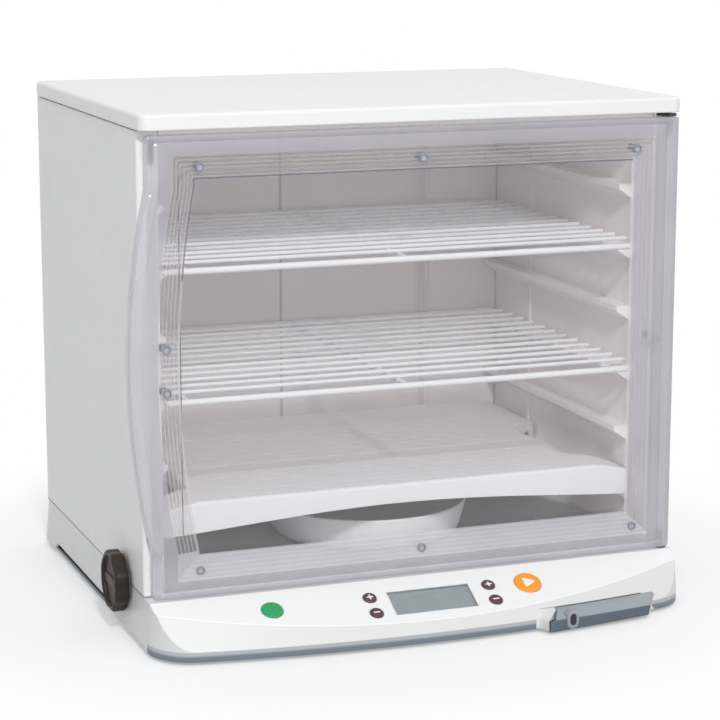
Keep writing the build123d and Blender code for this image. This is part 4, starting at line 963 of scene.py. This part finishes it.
@dataclass
class DoorGrip:
    """Bowed clear strip that the fingers pull, with three fine grooves and rounded ends."""

    width: float = 9.0
    stand: float = 3.0
    sink: float = 0.3
    bow: float = 14.5
    grooves: int = 3
    groove_depth: float = 0.7
    squareness: int = 8
    reach: float = 0.9995
    rows: int = 121
    across: int = 33

    def build(self, shop: Workshop) -> None:
        """Builds the strip and puts it on the door.

        Ring i is a cross-section at height z_i: across it, at u from -1 to 1, the strip stands
        (stand - groove_depth * ridges) * (1 - u ** 8) off the face, where the ridges are a cosine;
        its middle follows the bow's arc, and over the last half width it narrows as sqrt(1 - s * s).

        Args:
            shop: workshop that makes the pieces.
        """
        low, high = corners("door_grip")
        face = high[1]
        middle, half = (low[2] + high[2]) / 2, (high[2] - low[2]) / 2
        end = half * np.sin(np.linspace(-QUARTER, QUARTER, self.rows)) * self.reach
        centre = low[0] + self.width / 2 + fallen(half, self.bow, end)
        past = np.clip((np.abs(end) - half + self.width / 2) / (self.width / 2), 0, 1)
        shrink = np.sqrt(1 - past**2)[:, None]
        place = np.cos(np.linspace(math.pi, 0, self.across))[None, :]
        ridges = 0.5 - 0.5 * np.cos(math.pi * self.grooves * (place + 1))
        height = (self.stand - self.groove_depth * ridges) * (1 - place**self.squareness)
        x_top = centre[:, None] + shrink * place * self.width / 2
        z_top = np.broadcast_to(middle + end[:, None], x_top.shape)
        top = np.stack([x_top, face - height * np.sqrt(shrink), z_top], axis=-1)
        under = top[:, ::-1].copy()
        under[..., 1] = face + self.sink
        rings = np.concatenate([top, under], axis=1)
        shop.put("door_grip_strip", lofted(rings), (CLEAR_GRIP,), "door", ("door_grip",),
                 crease=60.0)


@dataclass
class ScrewWells:
    """Round bosses of the clear moulding over the tips of the nine door screws, at places X, Z."""

    ring: tuple[float, float] = (2.0, 3.1)
    core: float = 0.6
    soft: tuple[float, float] = (0.3, 0.4)
    taper: float = 0.1
    depth: float = 3.6
    sink: float = 0.15
    centre_sink: float = 1.6
    spokes: int = 28
    places: Rows = (
        (-161.5, 340.8),
        (2.0, 340.8),
        (169.2, 340.8),
        (-164.8, 57.7),
        (2.0, 57.7),
        (171.5, 57.7),
        (-187.0, 216.3),
        (-187.0, 185.9),
        (187.6, 199.0),
    )

    def build(self, shop: Workshop) -> None:
        """Turns one ring with its centre, and sets it at each screw, facing the front.

        Args:
            shop: workshop that makes the pieces.
        """
        low, _ = corners("door_front_panel")
        inner, outer = self.ring
        wide, deep = self.soft
        rim = [(outer, -self.depth), (outer, -deep), (outer - wide, 0.0), (inner + wide, 0.0), (inner, -deep)]
        floor = [(inner - self.taper, -self.centre_sink), (self.core, -self.centre_sink)]
        one = turned(np.array([(self.core, -self.depth), *rim, *floor]), self.spokes)
        one.tones[-2 - self.spokes : -2] = 1
        one.tones[-1] = 1
        axes = np.array([(1, 0, 0), (0, 0, 1), (0, -1, 0)])
        wells = [placed(one, np.array([x, low[1] + self.sink, z]), axes) for x, z in self.places]
        shop.put("screw_wells", joined(wells), (WELL_RING, WELL_CENTRE), "door")


# ---------------------------------------------------------------- inside
@dataclass
class WireRack:
    """White dipped wire rack: two end rods, three rods front to back and twelve wires."""

    node: str
    rod_radius: float = 2.4
    rod_sides: int = 16
    cross_radius: float = 2.0
    wire_radius: float = 1.5
    wire_count: int = 12
    side_inset: float = 19.0

    def build(self, shop: Workshop) -> None:
        """Builds the rack on its ledges.

        Args:
            shop: workshop that makes the pieces.
        """
        low, high = corners(self.node)
        level, upper = low[2] + self.rod_radius, high[2] - self.wire_radius
        front, rear = low[1] + self.rod_radius, high[1] - self.rod_radius

        def across(y: float, z: float) -> np.ndarray:
            """Line from side to side."""
            return np.array([[low[0], y, z], [high[0], y, z]])

        rods = [rod(across(y, level), self.rod_radius, self.rod_sides) for y in (front, rear)]
        for x in (low[0] + self.side_inset, (low[0] + high[0]) / 2, high[0] - self.side_inset):
            rods.append(rod(np.array([[x, front, level], [x, rear, level]]), self.cross_radius))
        for y in np.linspace(front, rear, self.wire_count + 2)[1:-1]:
            rods.append(rod(across(y, upper), self.wire_radius))
        name = self.node.replace("rack_", "") + "_wire_rack"
        shop.put(name, joined(rods), (DIPPED,), self.node, (self.node,), crease=60.0)


@dataclass
class LinerGrooveShade:
    """Painted shade of the back wall's upright grooves, as X and width: one dark, one soft and wide."""

    places: Rows = ((-5.9, 2.3), (119.7, 5.4))
    stand: float = 0.12
    sink: float = 0.9
    end: float = 1.0

    def build(self, shop: Workshop) -> None:
        """Lays each groove's painted shade as a thin flat strip on the panel, from its foot to its top.

        Args:
            shop: workshop that makes the pieces.
        """
        low, high = corners("back_wall_liner")
        bottom, top = low[2] + self.end, high[2] - self.end
        strips = []
        for tone, (x, width) in enumerate(self.places):
            left, right = x - width / 2, x + width / 2
            ring = np.array([(left, bottom), (right, bottom), (right, top), (left, top)])
            rings = [upright(ring, low[1] + step) for step in (-self.stand, self.sink)]
            strips.append(toned(lofted(np.stack(rings)), tone))
        shop.put("liner_groove_shades", joined(strips), (GROOVE_SHADE_DARK, GROOVE_SHADE_SOFT), "base")


@dataclass
class HeatBoard:
    """White board over the heater: notched plan, soft shoulders, arched skirt, faint embossing.

    The notch is where its two ends lie behind the front; the dash is a length and a width, and
    its levels are a factor of the outline and a share of the rise.
    """

    thickness: float = 2.6
    notch_depth: float = 34.0
    notch: tuple[float, float] = (31.0, 159.0)
    notch_slope: float = 15.0
    notch_flare: float = 3.0
    notch_skirt: float = 10.6
    notch_clear: float = 2.0
    corner: float = 5.0
    ledge_half: float = 178.0
    ledge_level: float = 78.6
    arch: float = 9.5
    arch_half: float = 178.0
    arch_power: float = 1.2
    arch_reach: float = 1.5
    shoulder: float = 26.0
    shoulder_drop: float = 6.0
    shoulder_power: float = 1.6
    shoulder_rings: tuple[float, float, int] = (0.2, 1.0, 6)
    edge_round: float = 1.6
    round_points: int = 6
    dash: tuple[float, float] = (13.0, 2.4)
    dash_levels: Rows = ((1.0, -1.25), (1.0, 0.3), (0.8, 0.8), (0.5, 1.0))
    pitch: tuple[float, float] = (23.0, 12.5)
    rise: float = 0.16
    margin: float = 14.0
    waist: float = 36.0
    ridge: float = 1.3
    ridge_inset: float = 1.4
    ridge_share: float = 0.6

    def outline(self, side: float, end: float) -> np.ndarray:
        """Plan of the board, with its corners rounded.

        Args:
            side: how far it is drawn in at its sides.
            end: how far it is drawn in at its ends.

        Returns:
            The plan.
        """
        low, high = corners("heat_board")
        half, waist = high[0] - side, high[0] - self.notch_depth - side
        near = low[1] + self.notch[0] - side / self.notch_flare
        far = low[1] + self.notch[1] + side / self.notch_flare
        right = [
            (half, low[1] + end),
            (half, near),
            (waist, near + self.notch_slope),
            (waist, far - self.notch_slope),
            (half, far + self.notch_slope),
            (half, high[1] - end),
        ]
        left = [(-x, y) for x, y in reversed(right)]
        return eased(np.array(right + left), self.corner)

    def foot(self, inset: float) -> np.ndarray:
        """Ring along the skirt's lower edge.

        The front edge rises by arch * cos(90 degrees * x / arch_half) ** 1.2 from the board's
        lowest level; the ears stand on the ledges; the notches and the rear are short.

        Args:
            inset: how far it is drawn in.

        Returns:
            The ring.
        """
        low, high = corners("heat_board")
        plan = self.outline(inset, inset)
        x, y = np.abs(plan[:, 0]), plan[:, 1] - low[1]
        swell = np.cos(np.clip(x / self.arch_half, 0, 1) * QUARTER) ** self.arch_power
        level = np.where(x > self.ledge_half, self.ledge_level, high[2] - self.notch_skirt)
        near = y < self.notch[0] + self.notch_clear
        level = np.where(near, np.maximum(self.ledge_level, low[2]), level)
        front = y < self.thickness + self.arch_reach
        return flat(plan, np.where(front, low[2] + self.arch * swell, level))

    def crown(self, side: float, end: float, drop: float) -> np.ndarray:
        """Ring at the top: level, and falling over the shoulders as t ** 1.6 times their drop.

        Args:
            side: how far it is drawn in at its sides.
            end: how far it is drawn in at its ends.
            drop: how far it lies below the top.

        Returns:
            The ring.
        """
        _, high = corners("heat_board")
        plan = self.outline(side, end)
        past = np.clip((np.abs(plan[:, 0]) - high[0] + self.shoulder) / self.shoulder, 0, 1)
        return flat(plan, high[2] - drop - self.shoulder_drop * past**self.shoulder_power)

    def body(self) -> Skin:
        """The board's shell: hollow below, outer skirt, rounded edge, shoulders, top."""
        wall, soft = self.thickness, self.edge_round
        rings = [self.crown(self.shoulder + wall, wall, wall), self.crown(wall, wall, wall)]
        rings += [self.foot(wall), self.foot(0)]
        for inset, drop in quarter_round(soft, np.linspace(0, QUARTER, self.round_points)):
            rings.append(self.crown(inset, inset, drop))
        for step in np.linspace(*self.shoulder_rings):
            rings.append(self.crown(soft + step * (self.shoulder - soft), soft + step, 0))
        return lofted(np.stack(rings))

    def dashes(self) -> Skin:
        """Staggered rows of low dashes on the top, shorter between the notches."""
        low, high = corners("heat_board")
        levels = tuple((factor, share * self.rise) for factor, share in self.dash_levels)
        one = pad(stadium(*self.dash, steps=5), levels)
        raised = []
        for row in range(int((high[1] - low[1] - 2 * self.margin) / self.pitch[1])):
            behind = self.margin + row * self.pitch[1]
            narrow = self.notch[0] - self.margin < behind < self.notch[1] + self.margin
            half = (high[0] - low[0]) / 2 - self.margin - (self.waist if narrow else self.shoulder)
            count = int(2 * half / self.pitch[0])
            shift = (row % 2 - 0.5) * self.pitch[0] / 2
            for column in range(count):
                x = (column - (count - 1) / 2) * self.pitch[0] + shift
                raised.append(placed(one, np.array([x, low[1] + behind, high[2]]), np.eye(3)))
        return joined(raised)

    def build(self, shop: Workshop) -> None:
        """Builds the board, its staggered rows of dashes and the round ridge along its front.

        Args:
            shop: workshop that makes the pieces.
        """
        low, high = corners("heat_board")
        y, z = low[1] + self.ridge + self.ridge_inset, high[2] - self.ridge * self.ridge_share
        reach = high[0] - self.shoulder
        edge = rod(np.array([[-reach, y, z], [reach, y, z]]), self.ridge)
        shop.put("arched_board", self.body(), (BOARD,), "board", ("heat_board",),
                 crease=40.0)
        shop.put("board_embossing", self.dashes(), (BOARD,), "board")
        shop.put("board_front_ridge", edge, (BOARD,), "board")


@dataclass
class WaterDish:
    """Round white dish with a rolled rim, narrower than its solid by drawn_in."""

    foot: float = 71.5
    drawn_in: float = 6.0
    wall: float = 2.6
    sweep: float = 9.0
    hub: float = 2.0
    bend: int = 9
    spokes: int = 128

    def build(self, shop: Workshop) -> None:
        """Turns the dish: flat foot, round foot edge, leaning wall, round rim.

        Args:
            shop: workshop that makes the pieces.
        """
        low, high = corners("water_dish")
        radius, height = (high[0] - low[0]) / 2 - self.drawn_in, high[2] - low[2]
        lean = math.atan2(height, radius - self.foot)
        start = self.foot - self.sweep * math.tan(lean / 2)

        def bottom(level: float) -> list[tuple[float, float]]:
            """Floor at a level, from the middle out and up round its edge."""
            bend = self.sweep - level
            turn = np.linspace(0, lean, self.bend)
            curve = [(start + bend * math.sin(a), level + bend * (1 - math.cos(a))) for a in turn]
            return [(self.hub, level), (self.foot / 2, level), *curve]

        roll = self.wall / 2
        side = np.array([math.sin(lean), -math.cos(lean)])
        up = np.array([math.cos(lean), math.sin(lean)])
        middle = np.array([radius - roll, height - roll])
        turn = np.linspace(-QUARTER, QUARTER, self.bend)
        curl = [tuple(middle + roll * (up * math.cos(a) - side * math.sin(a))) for a in turn]
        profile = np.array(bottom(0.0) + curl + bottom(self.wall)[::-1])
        origin = np.array([(low[0] + high[0]) / 2, (low[1] + high[1]) / 2, low[2]])
        skin = placed(turned(profile, self.spokes), origin, np.eye(3))
        shop.put("round_dish", skin, (DISH,), "dish", ("water_dish",), crease=60.0)


# ---------------------------------------------------------------- drip tray
@dataclass
class DripTray:
    """Slate pull-out tray: bowed two-facet face, box with its hollow, and the slotted boss.

    Rows of facets are an inset from the face's radius, the heights of the left and right ends and
    their X. Box levels are the floor's underside, the rim and the floor; boss and slot are a
    length and a width, with levels counted from the boss's face. The cone is the shell's radius,
    the height above which it leans back, and its lean.
    """

    bow_centre: float = 828.739
    radius: float = 1016.0
    facets: Rows = (
        (0.3, 1.8, 3.0, 79.0, 162.2),
        (0.0, 2.2, 3.4, 78.7, 162.5),
        (0.0, 9.9, 10.1, 78.7, 162.5),
        (0.4, 10.4, 10.6, 83.4, 164.2),
        (9.8, 14.8, 14.8, 88.8, 172.6),
        (10.5, 15.2, 15.2, 89.3, 173.0),
        (14.1, 15.25, 15.25, 89.3, 173.0),
        (9.5, 9.0, 9.0, 83.4, 164.2),
        (9.5, 8.0, 8.0, 79.0, 162.2),
        (9.5, 1.8, 3.0, 79.0, 162.2),
    )
    face_points: int = 25
    box_sides: tuple[float, float] = (79.5, 161.7)
    box_front: float = -172.0
    hollow_front: float = -156.5
    box_back: float = -121.261
    box_levels: tuple[float, float, float] = (5.2, 9.8, 6.6)
    wall: float = 1.8
    boss_at: tuple[float, float, float] = (96.8, -181.0, 9.2)
    boss: tuple[float, float] = (13.4, 9.2)
    boss_stand: float = 3.2
    boss_levels: Rows = ((1.0, -7.2), (1.0, -0.5), (0.93, -0.1), (0.88, 0.0))
    slot: tuple[float, float] = (8.6, 5.0)
    slot_raise: float = 0.7
    slot_levels: Rows = ((1.0, -0.6), (1.0, 0.06), (0.96, 0.1))
    cone: tuple[float, float, float] = (1005.7, 9.0, 0.7)
    lip_points: int = 13
    lip_inner: float = 1000.0
    lip_far: tuple[float, float] = (72.0, 173.5)
    left_lip: Rows = (
        (2.7, 78.1, 0.7),
        (3.2, 78.1, 0.3),
        (9.2, 78.1, 0.3),
        (10.0, 78.1, 0.7),
        (10.7, 82.7, 0.9),
        (14.8, 88.1, 10.2),
        (15.45, 88.6, 12.0),
    )
    right_lip: Rows = (
        (2.7, 163.1, 0.7),
        (3.2, 163.1, 0.3),
        (8.4, 163.1, 0.3),
        (9.2, 163.1, 0.7),
        (9.6, 163.1, 1.4),
    )
    right_lip_rise: float = 4.3

    def bowed(self, radius: np.ndarray | float, x: np.ndarray, z: np.ndarray) -> np.ndarray:
        """Points on circles about the bow's centre, where Y is centre - sqrt(r * r - x * x)."""
        return np.stack([x, self.bow_centre - np.sqrt(radius**2 - x**2), z], axis=-1)

    def face(self) -> Skin:
        """The bowed bar of the face, whose rows run evenly between their ends."""
        inset, left_z, right_z, left_x, right_x = np.array(self.facets).T[:, None, :]
        t = np.linspace(0, 1, self.face_points)[:, None]
        x, z = left_x + t * (right_x - left_x), left_z + t * (right_z - left_z)
        return lofted(self.bowed(self.radius - inset, x, z))

    def box(self) -> Skin:
        """Open box behind the face: outer floor and walls, rim, inner walls and floor."""
        low, high, inner = self.box_levels

        def ring(inset: float, near: float, level: float) -> np.ndarray:
            """Rectangle of the box at a level."""
            left, right = self.box_sides[0] + inset, self.box_sides[1] - inset
            far = self.box_back - inset
            return flat(np.array([(left, near), (right, near), (right, far), (left, far)]), level)

        rings = [ring(0, self.box_front, low), ring(0, self.box_front, high)]
        rings += [ring(self.wall, self.hollow_front, high), ring(self.wall, self.hollow_front, inner)]
        return lofted(np.stack(rings))

    def lip(self, far: float, rows: Rows, rise: float = 0.0) -> Skin:
        """White lip of the base at one end of the tray, flaring from the shell to the tray's face.

        Row k has a height, the X beside the tray and an inset from the face's radius. At t from
        0 far from the tray to 1 beside it, the radius is shell + (face - inset - shell) * t ** 2,
        where the shell leans back by the cone's slope above its foot, and the height gains
        rise * (1 - t) towards the row's share of the whole height.

        Args:
            far: X of the end away from the tray.
            rows: the rows, from the foot up.
            rise: how much higher the top lies at that end.

        Returns:
            The skin.
        """
        t = np.linspace(0, 1, self.lip_points)
        foot, level, slope = self.cone
        low, top = rows[0][0], rows[-1][0]
        lines = []
        for height, near, inset in rows:
            z = height + rise * (1 - t) * (height - low) / (top - low)
            shell = foot - slope * np.clip(z - level, 0, None)
            lines.append(self.bowed(shell + (self.radius - inset - shell) * t**2, far + t * (near - far), z))
        for edge in (lines[-1], lines[0]):
            lines.append(self.bowed(self.lip_inner, edge[:, 0], edge[:, 2]))
        return lofted(np.stack(lines, axis=1))

    def build(self, shop: Workshop) -> None:
        """Builds the tray, its boss with a black pad of painted shade for the slot, and the base's two lips.

        Args:
            shop: workshop that makes the pieces.
        """
        axes = np.array([(0, 0, 1), (1, 0, 0), (0, -1, 0)])
        at = np.array(self.boss_at)
        boss = placed(pad(stadium(*self.boss, steps=11), self.boss_levels, self.boss_stand), at, axes)
        # Painted shade: the slot is a black pad laid on the boss, standing for its shadowed opening.
        slot = pad(stadium(*self.slot), self.slot_levels, self.boss_stand)
        tray = joined([self.face(), self.box(), toned(boss, 1)])
        slot = placed(slot, at + np.array([0, 0, self.slot_raise]), axes)
        left, right = self.lip_far
        lips = [self.lip(left, self.left_lip), self.lip(right, self.right_lip, self.right_lip_rise)]
        shop.put("bowed_tray", tray, (TRAY_SLATE, BOSS_SLATE), "tray", ("drip_tray",),
                 crease=30.0)
        shop.put("tray_slot", slot, (BLACK,), "tray")
        shop.put("tray_lips", joined(lips), (BASE_WHITE,), "base")


# ---------------------------------------------------------------- knobs and buttons
@dataclass
class LockKnob:
    """Fluted side knob with a sunk face, a finger bar and its shaft.

    The profile is radius and height off the wall; flutes deepen over the ramp from one radius on.
    """

    side: int
    thickness: float = 10.6
    profile: Rows = (
        (6.0, 0.0),
        (20.6, 0.0),
        (21.8, 0.4),
        (22.4, 1.2),
        (22.5, 2.4),
        (22.5, 8.2),
        (22.2, 9.3),
        (21.4, 10.2),
        (20.3, 10.6),
        (19.3, 10.5),
        (18.7, 10.0),
        (18.4, 9.2),
        (18.1, 8.0),
        (17.2, 7.7),
        (3.0, 7.6),
    )
    spokes: int = 144
    flutes: int = 8
    flute_depth: float = 1.5
    flute_from: float = 19.5
    flute_ramp: float = 1.6
    bar: tuple[float, float] = (35.0, 7.0)
    bar_levels: Rows = ((1.0, 7.0), (0.99, 8.3), (0.95, 8.7), (0.85, 8.9))
    shaft_radius: float = 4.0
    shaft_spokes: int = 32
    tang_square: float = 4.0
    tang_length: float = 4.0
    overlap: float = 0.5

    def build(self, shop: Workshop) -> None:
        """Turns the knob about its shaft, outward from the wall.

        Args:
            shop: workshop that makes the pieces.
        """
        name = "left" if self.side < 0 else "right"
        node = f"lock_knob_{name}"
        low, high = corners(node)
        face, end = (high[0], low[0]) if self.side > 0 else (low[0], high[0])
        middle = (low + high) / 2
        origin = np.array([face - self.side * self.thickness, middle[1], middle[2]])
        axes = np.array([[0, self.side, 0], [0, 0, 1], [self.side, 0, 0]])
        profile = np.array(self.profile)
        depth = self.flute_depth * np.clip((profile[:, 0] - self.flute_from) / self.flute_ramp, 0, 1)
        body = turned(profile, self.spokes, self.flutes, depth)
        bar = pad(stadium(*self.bar), self.bar_levels)
        foot = self.side * (end - origin[0])
        neck = foot + self.tang_length
        line = np.array([(self.shaft_radius, neck), (self.shaft_radius, self.overlap)])
        shaft = turned(line, self.shaft_spokes)
        half = self.tang_square / 2
        square = np.array([(half, half), (-half, half), (-half, -half), (half, -half)])
        tang = pad(square, ((1.0, foot), (1.0, neck + self.overlap)))
        skin = placed(joined([body, bar, shaft, tang]), origin, axes)
        shop.put(f"fluted_knob_{name}", skin, (KNOB,), f"knob_{name}", (node,),
                 crease=32.0)


class Sign(Enum):
    """Sign on a button's cap."""

    NONE = "none"
    PLUS = "plus"
    MINUS = "minus"
    PLAY = "play"


@dataclass
class PanelButtons:
    """Six domed pushbuttons of the sloping panel, with their white signs.

    Rows of shoulder are an inset and a drop below the cap's stand, and rows of sign_levels a
    factor and a lift off the dome. Sizes of the signs are shares of the cap's radius: the bar's
    length and width; the triangle's reach, its corners' radius and its shift. A button has its
    node, X, run down the panel, radius and sign.
    """

    flange: float = 1.2
    flange_low: float = 3.9
    stem: float = 1.5
    stem_length: float = 1.5
    stand: float = 0.9
    shoulder: Rows = ((0.0, 0.5), (0.08, 0.2), (0.25, 0.05), (0.55, 0.0))
    dome: float = 0.35
    dome_rings: tuple[float, float, int] = (0.92, 0.08, 8)
    spokes: int = 64
    sign_levels: Rows = ((1.0, -0.3), (1.0, 0.084), (0.94, 0.14))
    bar: tuple[float, float] = (1.05, 0.26)
    triangle: tuple[float, float, float] = (0.40, 0.12, 0.02)
    tip_points: int = 7
    buttons: tuple[tuple[str, float, float, float, Sign], ...] = (
        ("power_button", -119.0, 17.6, 7.8, Sign.NONE),
        ("temperature_up_button", -45.5, 16.3, 4.9, Sign.PLUS),
        ("temperature_down_button", -45.5, 30.6, 4.9, Sign.MINUS),
        ("time_up_button", 46.5, 16.3, 4.9, Sign.PLUS),
        ("time_down_button", 46.5, 30.6, 4.9, Sign.MINUS),
        ("start_button", 77.0, 18.4, 10.0, Sign.PLAY),
    )

    def on_panel(self, skin: Skin, x: float, run: float) -> Skin:
        """Sets a skin on the panel.

        Args:
            skin: the skin, drawn about its place with the panel's slope level.
            x: place across the panel.
            run: how far the place lies in front of the lid's front.

        Returns:
            The placed skin.
        """
        front = corners("lid_shell")[0][1]
        base_top = corners("heater_plate")[0][2]
        axes = np.array([(1, 0, 0), (0, math.cos(PANEL_TILT), math.sin(PANEL_TILT)), PANEL_FACING])
        return placed(skin, np.array([x, front - run, base_top - PANEL_FALL * run]), axes)

    def domed(self, far: np.ndarray) -> np.ndarray:
        """Height of the dome, dome * (1 - s * s) over the stand, at a share s of the radius."""
        return self.stand + self.dome * (1 - far**2)

    def cap(self, radius: float) -> Skin:
        """Turned cap: stem, flange, straight side, round shoulder and low dome.

        Args:
            radius: radius of the cap.

        Returns:
            The skin.
        """
        low, edge = self.flange_low, radius + self.flange
        foot = [(self.stem, -low - self.stem_length), (self.stem, -low), (edge, -low)]
        foot += [(edge, -low + self.flange), (radius, -low + self.flange)]
        shoulder = [(radius - inset, self.stand - drop) for inset, drop in self.shoulder]
        share = np.linspace(*self.dome_rings)
        dome = list(zip(radius * share, self.domed(share)))
        return turned(np.array(foot + shoulder + dome), self.spokes)

    def raised(self, outline: np.ndarray, radius: float) -> Skin:
        """Sign lying on the dome of a cap.

        Args:
            outline: outline about the cap's middle.
            radius: radius of the cap.

        Returns:
            The skin.
        """
        middle = outline.mean(axis=0)
        rings = []
        for factor, lift in self.sign_levels:
            plan = middle + (outline - middle) * factor
            rings.append(flat(plan, self.domed(np.linalg.norm(plan, axis=1) / radius) + lift))
        return lofted(np.stack(rings))

    def outlines(self, sign: Sign, radius: float) -> list[np.ndarray]:
        """Outlines of a sign's bars, or of the triangle with its rounded corners.

        Args:
            sign: the sign.
            radius: radius of the cap.

        Returns:
            The outlines.
        """
        if sign is Sign.PLAY:
            reach, soft, shift = np.array(self.triangle) * radius
            turn = np.linspace(-math.pi / 3, math.pi / 3, self.tip_points)
            tips = []
            for tip in (0.0, 2 * math.pi / 3, 4 * math.pi / 3):
                x = reach * math.cos(tip) + soft * np.cos(tip + turn) - shift
                tips.append(np.column_stack([x, reach * math.sin(tip) + soft * np.sin(tip + turn)]))
            return [np.concatenate(tips)]
        length, width = self.bar
        bars = [stadium(radius * length, radius * width, 5)]
        if sign is Sign.PLUS:
            bars.append(bars[0][:, ::-1] * np.array([1, -1]))
        return bars

    def build(self, shop: Workshop) -> None:
        """Builds the six caps and their signs.

        Args:
            shop: workshop that makes the pieces.
        """
        special = {"power_button": (GREEN, "button_green"), "start_button": (ORANGE, "button_orange")}
        for name, x, run, radius, sign in self.buttons:
            finish, slot = special.get(name, (BROWN, "button_brown"))
            cap = self.on_panel(self.cap(radius), x, run)
            shop.put(f"{name}_cap", cap, (finish,), name, (name,), crease=40.0)
            if sign is Sign.NONE:
                continue
            marks = joined([self.raised(outline, radius) for outline in self.outlines(sign, radius)])
            shop.put(f"{name}_sign", self.on_panel(marks, x, run), (SIGN_WHITE,), name)


# ---------------------------------------------------------------- studio
def aimed(name: str, data: bpy.types.ID, at: Vector, along: Vector) -> bpy.types.Object:
    """Puts a lamp or a camera in the scene.

    Args:
        name: name of the object.
        data: its lamp or camera data.
        at: its place, in metres.
        along: the direction that it looks in.

    Returns:
        The object.
    """
    thing = bpy.data.objects.new(name, data)
    thing.location = at
    thing.rotation_euler = along.to_track_quat("-Z", "Y").to_euler()
    bpy.context.scene.collection.objects.link(thing)
    return thing


@dataclass(frozen=True)
class Lamp:
    """Soft square lamp: its place, the point that it faces and its side in metres, and its watts."""

    name: str
    at: tuple[float, float, float]
    to: tuple[float, float, float]
    size: float
    power: float

    def hang(self) -> None:
        """Hangs the lamp."""
        data = bpy.data.lights.new(self.name, "AREA")
        data.shape = "SQUARE"
        data.size = self.size
        data.energy = self.power
        aimed(self.name, data, Vector(self.at), Vector(self.to) - Vector(self.at))


@dataclass
class Studio:
    """Pale floor, soft lights and the camera."""

    camera_at: tuple[float, float, float] = (-611.9, -1638.36, 521.8)
    yaw: float = 20.53
    pitch: float = 11.29
    lens: float = 116.64
    sensor: float = 36.0
    floor_half: float = 6000.0
    shadow_reach: tuple[float, float] = (260.0, 480.0)
    floor_white: Colour = (0.97, 0.97, 0.97)
    sky_tint: Colour = (0.97, 0.98, 1.0)
    sky: float = 0.70
    near_white: float = 0.35
    bounce: float = 0.52
    lamps: tuple[Lamp, ...] = (
        Lamp("key", (-0.52, -2.12, 1.75), (0, 0, 0.15), 0.24, 30),
        Lamp("front", (-0.3, -2.6, 0.45), (0, 0, 0.2), 1.6, 7),
        Lamp("side", (1.9, 0.9, 1.2), (0, 0, 0.2), 1.5, 4),
    )

    def floor(self) -> None:
        """Lays a white floor that shows pure white to the camera and keeps a soft shadow."""
        half = self.floor_half * MM
        mesh = bpy.data.meshes.new("floor")
        square = [(-half, -half, 0), (half, -half, 0), (half, half, 0), (-half, half, 0)]
        mesh.from_pydata(square, [], [(0, 1, 2, 3)])
        plane = bpy.data.objects.new("floor", mesh)
        bpy.context.scene.collection.objects.link(plane)
        mesh.materials.append(self.floor_material())

    def floor_material(self) -> bpy.types.Material:
        """Floor finish: dull to the light, lit to the eye near the object, plain white beyond."""
        material = bpy.data.materials.new("floor_white")
        kit = Nodes(material, "ShaderNodeOutputMaterial")
        lit = kit.add("ShaderNodeBsdfDiffuse", Color=self.floor_white)
        dull = kit.add("ShaderNodeBsdfDiffuse", Color=(self.bounce,) * 3)
        plain = kit.add("ShaderNodeEmission", Strength=1.0)
        far = kit.add("ShaderNodeVectorMath", kit.place, operation="LENGTH").outputs["Value"]
        near, end = self.shadow_reach
        ends = {"From_Min": near * MM, "From_Max": end * MM, "To_Min": self.near_white}
        fade = kit.add("ShaderNodeMapRange", Value=far, interpolation_type="SMOOTHSTEP", **ends)
        seen = kit.rays("Is Camera Ray", "Is Glossy Ray")
        kit.surface(kit.mixed(kit.maths("MULTIPLY", seen, fade), kit.mixed(seen, dull, lit), plain))
        return material

    def world(self) -> None:
        """White sky to the camera, plain soft light to everything else."""
        world = bpy.data.worlds.new("studio_sky")
        bpy.context.scene.world = world
        kit = Nodes(world, "ShaderNodeOutputWorld")
        seen = kit.add("ShaderNodeBackground", Color=(1, 1, 1), Strength=1.0)
        soft = kit.add("ShaderNodeBackground", Color=self.sky_tint, Strength=self.sky)
        kit.surface(kit.mixed(kit.rays("Is Camera Ray", "Is Glossy Ray", "Is Transmission Ray"), soft, seen))

    def camera(self) -> None:
        """Sets the camera at the photograph's angle."""
        data = bpy.data.cameras.new("camera")
        data.lens = self.lens
        data.sensor_width = self.sensor
        yaw, pitch = math.radians(self.yaw), math.radians(self.pitch)
        level = math.cos(pitch)
        along = Vector((math.sin(yaw) * level, math.cos(yaw) * level, -math.sin(pitch)))
        bpy.context.scene.camera = aimed("camera", data, Vector(self.camera_at) * MM, along)

    def build(self) -> None:
        """Builds the whole studio."""
        bpy.context.scene.view_settings.view_transform = "Standard"
        self.floor()
        self.world()
        for lamp in self.lamps:
            lamp.hang()
        self.camera()


def dress_frame(wardrobe: Wardrobe) -> None:
    """Gives every node of the frame its finish.

    Args:
        wardrobe: maker of the materials.
    """
    for name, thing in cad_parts.items():
        wardrobe.dress(thing, DRESS[name])
        log.info("dressed %s in %s", name, DRESS[name].name)


def main() -> None:
    """Builds the studio and every piece of the proofer in order."""
    logging.basicConfig(level=logging.INFO, format="%(name)s: %(message)s")
    Studio().build()
    wardrobe = Wardrobe()
    dress_frame(wardrobe)
    shop = Workshop(wardrobe)
    DoorMoulding().build(shop)
    DoorGrip().build(shop)
    ScrewWells().build(shop)
    LinerGrooveShade().build(shop)
    WireRack("rack_lower").build(shop)
    WireRack("rack_upper").build(shop)
    HeatBoard().build(shop)
    WaterDish().build(shop)
    DripTray().build(shop)
    LockKnob(-1).build(shop)
    LockKnob(1).build(shop)
    PanelButtons().build(shop)


if __name__ == "__main__":
    main()
